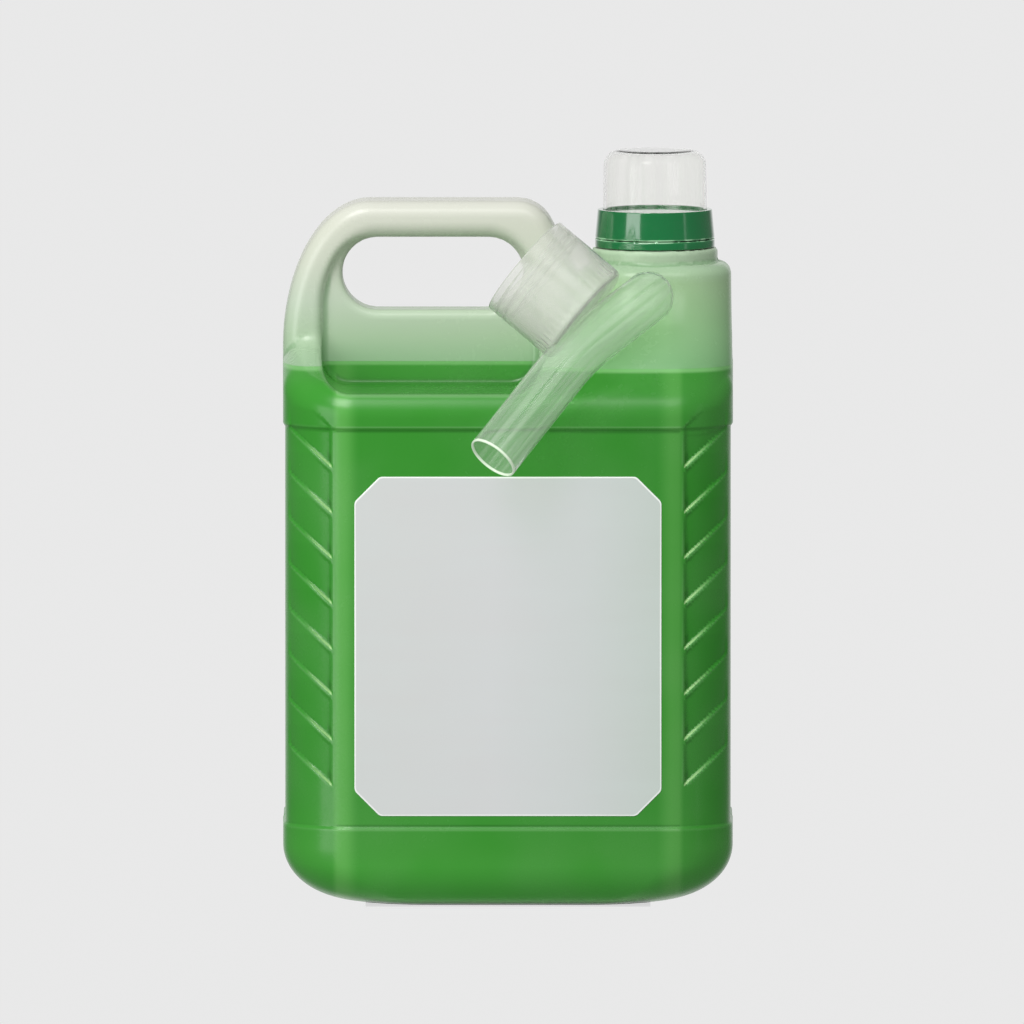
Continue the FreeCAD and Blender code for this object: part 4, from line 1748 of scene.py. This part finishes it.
@dataclass(frozen=True)
class ShellFinish:
    """Frosted bottle wall: milky above the coolant, deep green below its level.

    Edges and reaches are in millimetres. Places of the tones run from 0 to 1: from the level to
    the handle's top above it, and from the ground to the level below it.
    """

    name: str
    skin: JugSkin
    level: float
    # Over the coolant the green is a painted glow of light that the coolant scatters into the empty
    # wall.
    handle_tones: Stops = stops(
        (0.0, 150, 185, 146), (0.16, 167, 191, 160), (0.38, 186, 200, 180),
        (0.62, 198, 204, 188), (0.85, 203, 206, 192), (1.0, 208, 209, 199))
    tower_tones: Stops = stops(
        (0.0, 118, 170, 115), (0.25, 135, 177, 127), (0.5, 150, 182, 139),
        (0.60, 162, 190, 157), (0.64, 164, 188, 158), (1.0, 184, 202, 178))
    liquid_tones: Stops = stops(
        (0.0, 64, 158, 54), (0.10, 58, 146, 46), (0.2, 48, 138, 38),
        (0.5, 48, 138, 38), (0.9, 52, 140, 42), (1.0, 60, 146, 48))
    tower_blend: tuple[float, float] = (2.0, 20.0)
    # Painted highlight down the rounded corners beside the flat faces.
    column_highlight_edges: tuple[float, ...] = (62.0, 69.5, 71.5, 74.5)
    column_highlight_tone: Colour = linear(110, 186, 92)
    flank_edges: tuple[float, float] = (50.0, 30.0)
    flank_tone: Colour = linear(100, 184, 92)
    # Painted shade: the green darkens towards the +X end, the side away from the key lamp.
    neck_side_shade_edges: tuple[float, float] = (-60.0, 90.0)
    neck_side_shade_tone: Colour = linear(20, 108, 14)
    meniscus: tuple[float, float] = (2.2, 0.8)
    meniscus_tone: Colour = linear(150, 212, 138)
    # Painted highlight on rounded edges; painted shade in hollows and in the grips' hooks.
    edge_highlight_tone: Colour = linear(214, 244, 206)
    hollow_shade_tone: Colour = linear(14, 84, 10)
    hollow_shade_tone_above: Colour = linear(96, 146, 92)
    # Painted highlight along each grip ledge and painted shade in the hook above its inner end.
    ledge_edges: tuple[float, ...] = (0.2, 0.8, 1.0, 2.2)
    ledge_reach: tuple[float, float] = (13.0, 0.8)
    ledge_highlight_tone: Colour = linear(206, 248, 176)
    hook_edges: tuple[float, ...] = (2.0, 2.8, 4.0, 7.5)
    hook_reach: tuple[float, float] = (2.6, 1.2)
    bloom_tone: Colour = linear(225, 240, 215)

    @property
    def grip_inner(self) -> float:
        """Where the grips start on both sides of the middle."""
        return self.skin.half_width - self.skin.grip_set_in[0]

    def grip_marks(self, graph: Graph, across: object, height: object) -> tuple[Socket, Socket]:
        """Masks of the light and the shade at the inner end of each slanting grip ledge.

        Both follow the remainder of the height over a slanting line, divided by the grips' pitch.

        Args:
            graph: writer of the material.
            across: distance from the middle.
            height: height over the ground.

        Returns:
            Masks of the light line and of the hook-shaped shade.
        """
        skin, inner = self.skin, self.grip_inner * MM

        def reaching(reach: tuple[float, float]) -> Socket:
            """Mask that fades out between two distances from the grip's inner end."""
            return graph.ramp(across, inner + reach[0] * MM, inner + reach[1] * MM)

        slant = graph.times(graph.less(across, inner), skin.grip_slope)
        rise = graph.less(graph.less(height, skin.grip_first * MM), slant)
        phase = graph.math(Reckoning.REMAINDER, rise, skin.grip_pitch * MM)
        last = skin.grip_pitch * skin.grip_cells
        inside = graph.times(graph.window(rise, (-0.4, 0.2, last - 0.5, last), MM),
                             reaching((0.0, 0.6)))
        line = graph.times(graph.window(phase, self.ledge_edges, MM), reaching(self.ledge_reach))
        hook = graph.times(graph.window(phase, self.hook_edges, MM), reaching(self.hook_reach))
        return graph.times(line, inside), graph.times(hook, inside)

    def above(self, graph: Graph, x: object, z: object) -> Socket:
        """Colour over the coolant: a painted green glow of its scattered light near it and on the
        tower, milky at the handle.

        Args:
            graph: writer of the material.
            x: place along the bottle.
            z: height over the ground.

        Returns:
            The colour.
        """
        level = self.level * MM
        rise = self.skin.handle_top * MM - level
        share = graph.math(Reckoning.DIVIDE, graph.less(z, level), rise)
        rear = self.skin.neck_x - self.skin.tower_rear_reach[0]
        beside = graph.ramp(x, *((rear + reach) * MM for reach in self.tower_blend))
        return graph.mix(beside, graph.curve(share, self.handle_tones),
                         graph.curve(share, self.tower_tones))

    def below(self, graph: Graph, x: object, y: object, z: object) -> Socket:
        """Colour under the level: painted corner highlight, lighter narrow ends, painted shade
        towards +X.

        Args:
            graph: writer of the material.
            x: place along the bottle.
            y: place across the bottle.
            z: height over the ground.

        Returns:
            The colour.
        """
        share = graph.math(Reckoning.DIVIDE, z, self.level * MM)
        colour = graph.curve(share, self.liquid_tones)
        # Painted highlight: a band of lighter green down the rounded corners.
        column = graph.window(graph.math(Reckoning.WITHOUT_SIGN, x), self.column_highlight_edges, MM)
        colour = graph.tint(colour, column, 0.42, self.column_highlight_tone)
        # Lighter green where the place across is small, on the middle of the narrow ends and of the
        # base.
        flank = graph.ramp(graph.math(Reckoning.WITHOUT_SIGN, y),
                           *(edge * MM for edge in self.flank_edges))
        colour = graph.tint(colour, flank, 0.10, self.flank_tone)
        # Painted shade growing towards the +X end.
        away = graph.ramp(x, *(edge * MM for edge in self.neck_side_shade_edges), 0.0, 0.3)
        return graph.mix(away, colour, self.neck_side_shade_tone)

    def relief(self, graph: Graph, colour: Socket, across: Socket, over: Socket) -> Socket:
        """Colour with a painted highlight on edges and painted shade in hollows, both weaker on the
        grips.

        Args:
            graph: writer of the material.
            colour: colour of the wall.
            across: distance from the middle.
            over: mask of the wall above the level.

        Returns:
            The new colour.
        """
        bend = graph.attribute("bend").outputs["Fac"]
        grip = graph.ramp(across, (self.grip_inner - 2.0) * MM, (self.grip_inner - 1.0) * MM)
        grip = graph.times(grip, graph.less(1.0, over))
        plain = graph.less(1.0, graph.times(grip, 0.75))
        # Painted highlight where the wall bends out and painted shade where it bends in.
        raised = graph.times(graph.ramp(bend, 0.12, 0.70, 0.0, 0.20), plain)
        hollow = graph.times(graph.ramp(bend, -0.06, -0.40, 0.0, 0.45), plain)
        colour = graph.mix(raised, colour, self.edge_highlight_tone)
        return graph.mix(hollow, colour, graph.mix(over, self.hollow_shade_tone, self.hollow_shade_tone_above))

    def build(self, group: bpy.types.NodeTree) -> bpy.types.Material:
        """Material of the bottle wall.

        Args:
            group: the moulded surface group.

        Returns:
            The new material.
        """
        material, graph, shader = new_material(self.name)
        blotch, rub, normal = moulded(graph, group, 1300.0, 0.08)
        x, y, z = graph.coordinates(graph.place())
        across = graph.math(Reckoning.WITHOUT_SIGN, x)
        over = graph.ramp(z, (self.level - 0.3) * MM, (self.level + 0.3) * MM)
        colour = graph.mix(over, self.below(graph, x, y, z), self.above(graph, x, z))
        meniscus = graph.ramp(z, *((self.level - drop) * MM for drop in self.meniscus))
        meniscus = graph.times(meniscus, graph.less(1.0, over))
        colour = graph.tint(colour, meniscus, 0.45, self.meniscus_tone)
        # Painted highlight on edges and painted shade in hollows.
        colour = self.relief(graph, colour, across, over)
        # Painted highlight on the grip ledges and painted shade in the hooks above them.
        glint, shade = self.grip_marks(graph, across, z)
        colour = graph.tint(colour, glint, 0.55, self.ledge_highlight_tone)
        colour = graph.tint(colour, shade, 0.5, self.hollow_shade_tone)
        colour = graph.mix(graph.ramp(blotch, 0.3, 0.7, 0.0, 0.025), colour, self.bloom_tone)
        graph.feed(shader, {
            "Base Color": colour, "Normal": normal,
            "Roughness": graph.ramp(rub, 0.0, 1.0, 0.27, 0.31),
            "Coat Weight": 0.08, "Coat Roughness": 0.15, "Specular IOR Level": 0.34})
        return material


@dataclass(frozen=True)
class LabelFinish:
    """Coated paper film: faint level streaks and a bright thin edge all round."""

    name: str
    left: float
    right: float
    # Painted shade: the paper darkens towards its +X end, away from the key lamp.
    tones: Stops = stops((0.0, 202, 205, 203), (0.45, 204, 206, 206), (0.75, 198, 203, 201),
                         (1.0, 188, 198, 191))
    streak_stretch: float = 0.12
    streak_scale: float = 160.0
    streak_tone: Colour = linear(196, 214, 210)
    blotch_tone: Colour = linear(205, 220, 222)
    rim_tone: Colour = linear(246, 250, 246)

    def build(self, group: bpy.types.NodeTree) -> bpy.types.Material:
        """Material of the label.

        Args:
            group: the moulded surface group.

        Returns:
            The new material.
        """
        material, graph, shader = new_material(self.name)
        place = graph.place()
        x = graph.coordinates(place)[0]
        stretch = graph.feed(graph.node("ShaderNodeMapping"), {
            "Vector": place, "Scale": (self.streak_stretch, 1.0, 1.0)})
        streak = graph.noise(stretch.outputs["Vector"], self.streak_scale, 2.0)
        streak = graph.ramp(streak, 0.3, 0.7)
        width = (self.right - self.left) * MM
        across = graph.math(Reckoning.DIVIDE, graph.less(x, self.left * MM), width)
        # Painted shade: the tones darken towards the +X end.
        paper = graph.tint(graph.curve(across, self.tones), streak, 0.05, self.streak_tone)
        blotch, _, normal = moulded(graph, group, 500.0, 0.05)
        paper = graph.tint(paper, graph.ramp(blotch, 0.35, 0.65), 0.05, self.blotch_tone)
        paper = graph.tint(paper, graph.attribute("rim").outputs["Fac"], 0.8, self.rim_tone)
        graph.feed(shader, {
            "Base Color": paper, "Normal": normal,
            "Roughness": graph.ramp(streak, 0.0, 1.0, 0.42, 0.5), "Specular IOR Level": 0.35})
        return material


@dataclass(frozen=True)
class ClearFinish:
    """Clear plastic that lets lamp light and soft light pass, with a faint milky body.

    Where length is that of a tube's centre line in millimetres, its mouth has a painted highlight
    rim.
    """

    name: str
    tint: Colour
    roughness: float = 0.05
    transmission: float = 0.98
    streaked: float = 0.98
    ior: float = 1.3
    bump: float = 0.05
    length: float = 0.0
    mouth_highlight_edges: tuple[float, float] = (1.3, 0.6)
    mouth_highlight_strength: float = 0.8
    rim_tone: Colour = linear(232, 250, 224)
    passing: Colour = (0.93, 0.96, 0.92)

    def build(self, group: bpy.types.NodeTree) -> bpy.types.Material:
        """Principled shader seen by the camera and in mirrors, plain see-through for other rays.

        Args:
            group: the moulded surface group.

        Returns:
            The new material.
        """
        material, graph, shader = new_material(self.name)
        blotch, rub, normal = moulded(graph, group, 700.0, self.bump)
        colour = graph.mix(graph.ramp(blotch, 0.4, 0.6, 0.0, 0.15), self.tint, (1.0, 1.0, 1.0))
        around = graph.attribute("around").outputs["Vector"]
        lines = graph.ramp(graph.noise(around, 5.0, 2.0), 0.35, 0.65)
        clearness = graph.ramp(lines, 0.0, 1.0, self.streaked, self.transmission)
        # Painted highlight round the tube's mouth, which is also made less clear there.
        if self.length > 0:
            station = graph.coordinates(around)[2]
            rim = graph.ramp(station, *((self.length - edge) * STATION_SCALE
                                        for edge in self.mouth_highlight_edges))
            colour = graph.tint(colour, rim, self.mouth_highlight_strength, self.rim_tone)
            clearness = graph.times(clearness,
                                    graph.less(1.0, graph.times(rim, self.mouth_highlight_strength)))
        graph.feed(shader, {
            "Base Color": colour, "Normal": normal, "Transmission Weight": clearness,
            "Roughness": graph.ramp(rub, 0.0, 1.0, self.roughness, self.roughness + 0.08),
            "IOR": self.ior})
        clear = graph.feed(graph.node("ShaderNodeBsdfTransparent"), {"Color": self.passing})
        path = graph.node("ShaderNodeLightPath").outputs
        soft = graph.math(Reckoning.LARGER, path["Is Shadow Ray"], path["Is Diffuse Ray"])
        blend = graph.feed(graph.node("ShaderNodeMixShader"), {
            0: soft, 1: shader.outputs["BSDF"], 2: clear.outputs["BSDF"]})
        output = next(node for node in material.node_tree.nodes if node.type == "OUTPUT_MATERIAL")
        graph.feed(output, {"Surface": blend.outputs["Shader"]})
        return material


def finished(skin: JugSkin, coolant: Coolant, label: Label, closure: Closure,
             spout: Spout) -> Materials:
    """Every material of the object.

    Args:
        skin: the bottle, whose heights and grips the wall's tones follow.
        coolant: the liquid, whose level the wall shows.
        label: the label, across which its tones and their painted shade run.
        closure: the cap, whose foot has a painted highlight line.
        spout: the spout, whose tube has a painted highlight round its mouth.

    Returns:
        The ready materials.
    """
    surface = MouldedSurface().build()
    shell = ShellFinish("frosted_wall", skin, coolant.level)
    cap = Finish("cap_plastic", linear(10, 112, 58), linear(8, 102, 50), roughness=0.16,
                 rubbed=0.24, grain=1100.0, bump=0.04, coat=1.0, coat_roughness=0.05,
                 specular=0.7, lip=closure.foot)
    foam = Finish("liner_foam", linear(236, 234, 226), linear(228, 226, 216), roughness=0.7,
                  rubbed=0.8, grain=1600.0, bump=0.3, specular=0.3)
    liquid = Finish("green_coolant", linear(66, 158, 52), linear(60, 148, 48), roughness=0.08,
                    rubbed=0.12, grain=60.0, bump=0.02, specular=0.5)
    film = LabelFinish("label_paper", float(label.low[0]), float(label.high[0]))
    cup = ClearFinish("cup_plastic", (0.97, 0.97, 0.955), roughness=0.04, transmission=1.0,
                      streaked=0.96, ior=1.16, bump=0.008)
    tube = ClearFinish("spout_tube_plastic", (0.76, 0.87, 0.74), roughness=0.05,
                       transmission=0.92, streaked=0.84, ior=1.15, bump=0.006,
                       length=spout.length)
    socket = ClearFinish("spout_socket_plastic", (0.79, 0.80, 0.76), roughness=0.14,
                         transmission=0.79, streaked=0.73, ior=1.15, bump=0.02)
    finishes = (shell, cap, foam, liquid, film, cup, tube, socket)
    return Materials(*(finish.build(surface) for finish in finishes))


# ---------------------------------------------------------------- studio
@dataclass(frozen=True)
class Softbox:
    """Square or long lamp aimed at the object."""

    name: str
    azimuth: float
    elevation: float
    distance: float
    size: tuple[float, float]
    radiance: float
    colour: Colour = (1.0, 1.0, 1.0)

    def build(self, target: Vector) -> bpy.types.Object:
        """Area lamp whose power is radiance times pi times its area.

        Args:
            target: point the lamp looks at.

        Returns:
            The lamp.
        """
        turn, rise = math.radians(self.azimuth), math.radians(self.elevation)
        away = Vector((math.sin(turn) * math.cos(rise), -math.cos(turn) * math.cos(rise),
                       math.sin(rise)))
        data = bpy.data.lights.new(self.name, "AREA")
        data.shape = "RECTANGLE"
        data.size, data.size_y = self.size
        data.energy = self.radiance * math.pi * self.size[0] * self.size[1]
        data.color = self.colour
        lamp = bpy.data.objects.new(self.name, data)
        lamp.location = target + away * self.distance
        lamp.rotation_euler = away.to_track_quat("Z", "Y").to_euler()
        bpy.context.scene.collection.objects.link(lamp)
        return lamp


@dataclass
class Studio:
    """Pale floor and backdrop, soft lamps and a long lens.

    Lengths are in metres, but the floor's reach and the sensor are in millimetres.
    """

    target: tuple[float, float, float] = (0.0017, 0.0, 0.16194)
    width: float = 0.4323
    distance: float = 20.0
    elevation: float = 4.7
    sensor: float = 36.0
    sight: float = 50.0
    tone: float = 0.812
    fill: float = 0.5
    mirrored: float = 0.16
    mirror_edges: tuple[float, float] = (0.75, 1.0)
    floor_reach: float = 60.0
    floor_tones: tuple[Colour, Colour] = (linear(238, 238, 238), linear(240, 240, 240))
    shadow_ease: float = 3.2
    softboxes: tuple[Softbox, ...] = (
        Softbox("key_softbox", -22.0, 48.0, 2.2, (0.75, 0.9), 10.8, (1.0, 0.995, 0.98)),
        Softbox("right_softbox", 20.0, 48.0, 2.2, (0.75, 0.9), 2.8, (0.98, 0.99, 1.0)),
        Softbox("left_strip", -43.0, 8.0, 2.2, (1.15, 1.5), 3.2),
        Softbox("right_strip", 62.0, 8.0, 2.4, (0.2, 1.5), 0.7, (0.98, 0.99, 1.0)),
    )

    def floor(self) -> bpy.types.Object:
        """Level sheet just under the object, plain to the camera but for its shadow.

        Returns:
            The sheet.
        """
        corners = np.array([[-1, -1, 0], [1, -1, 0], [1, 1, 0], [-1, 1, 0]]) * self.floor_reach
        sheet = add_object("studio_floor", corners, np.array([[0, 1, 2, 3]]))
        material, graph, shader = new_material("studio_floor")
        path = graph.node("ShaderNodeLightPath")
        graph.feed(shader, {
            "Base Color": graph.mix(graph.noise(graph.place(), 40.0, 2.0), *self.floor_tones),
            "Roughness": 0.9, "Specular IOR Level": 0.0, "Emission Color": (1.0, 1.0, 1.0),
            "Emission Strength": graph.times(path.outputs["Is Camera Ray"], self.shadow_ease)})
        sheet.data.materials.append(material)
        sheet.is_shadow_catcher = True
        sheet.visible_glossy = False
        return sheet

    def world(self) -> None:
        """Even pale surroundings: one tone to the camera and in glass, a weaker fill for the rest.

        Smooth surfaces mirror a darker share, which rises to the tone straight behind the object.
        """
        world = bpy.data.worlds.new("studio_world")
        world.use_nodes = True
        graph = Graph(world.node_tree)
        background = next(node for node in world.node_tree.nodes if node.type == "BACKGROUND")
        path = graph.node("ShaderNodeLightPath").outputs
        seen = graph.math(Reckoning.LARGER, path["Is Camera Ray"], path["Is Transmission Ray"])
        direction = graph.coordinates(graph.node("ShaderNodeTexCoord").outputs["Generated"])
        mirrored = graph.ramp(direction[1], *self.mirror_edges, self.mirrored, self.tone)
        rest = graph.math(Reckoning.ADD, self.fill,
                          graph.times(path["Is Glossy Ray"], graph.less(mirrored, self.fill)))
        strength = graph.math(Reckoning.ADD, graph.times(seen, self.tone),
                              graph.times(graph.less(1.0, seen), rest))
        graph.feed(background, {"Color": (1.0, 1.0, 1.0), "Strength": strength})
        bpy.context.scene.world = world

    def camera(self) -> None:
        """Long-lens camera at the object's front, a little above level."""
        rise = math.radians(self.elevation)
        away = Vector((0.0, -math.cos(rise), math.sin(rise)))
        data = bpy.data.cameras.new("studio_camera")
        data.sensor_width = self.sensor
        data.lens = data.sensor_width * self.distance / self.width
        data.clip_end = self.sight
        camera = bpy.data.objects.new("studio_camera", data)
        camera.location = Vector(self.target) + away * self.distance
        camera.rotation_euler = away.to_track_quat("Z", "Y").to_euler()
        bpy.context.scene.collection.objects.link(camera)
        bpy.context.scene.camera = camera

    def build(self) -> None:
        """Everything of the studio, with the plain view transform."""
        self.floor()
        self.world()
        for softbox in self.softboxes:
            softbox.build(Vector(self.target))
        self.camera()
        bpy.context.scene.view_settings.view_transform = "Standard"


# ---------------------------------------------------------------- the whole object
def main() -> None:
    """Build every piece in order, then the studio."""
    logging.basicConfig(level=logging.INFO, format="%(message)s")
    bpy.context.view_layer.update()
    skin = JugSkin.from_frame()
    coolant = Coolant.from_frame(skin)
    label = Label.from_frame()
    closure = Closure.from_frame(skin)
    spout = Spout.from_record()
    materials = finished(skin, coolant, label, closure, spout)
    log.info("finishes ready")

    skin.dress(materials)
    coolant.dress(materials)
    Neck.from_skin(skin).dress(materials)
    label.dress(materials)
    closure.dress(materials)
    Cup.from_frame(skin).dress(materials)
    spout.dress(materials)
    Studio().build()


if __name__ == "__main__":
    main()
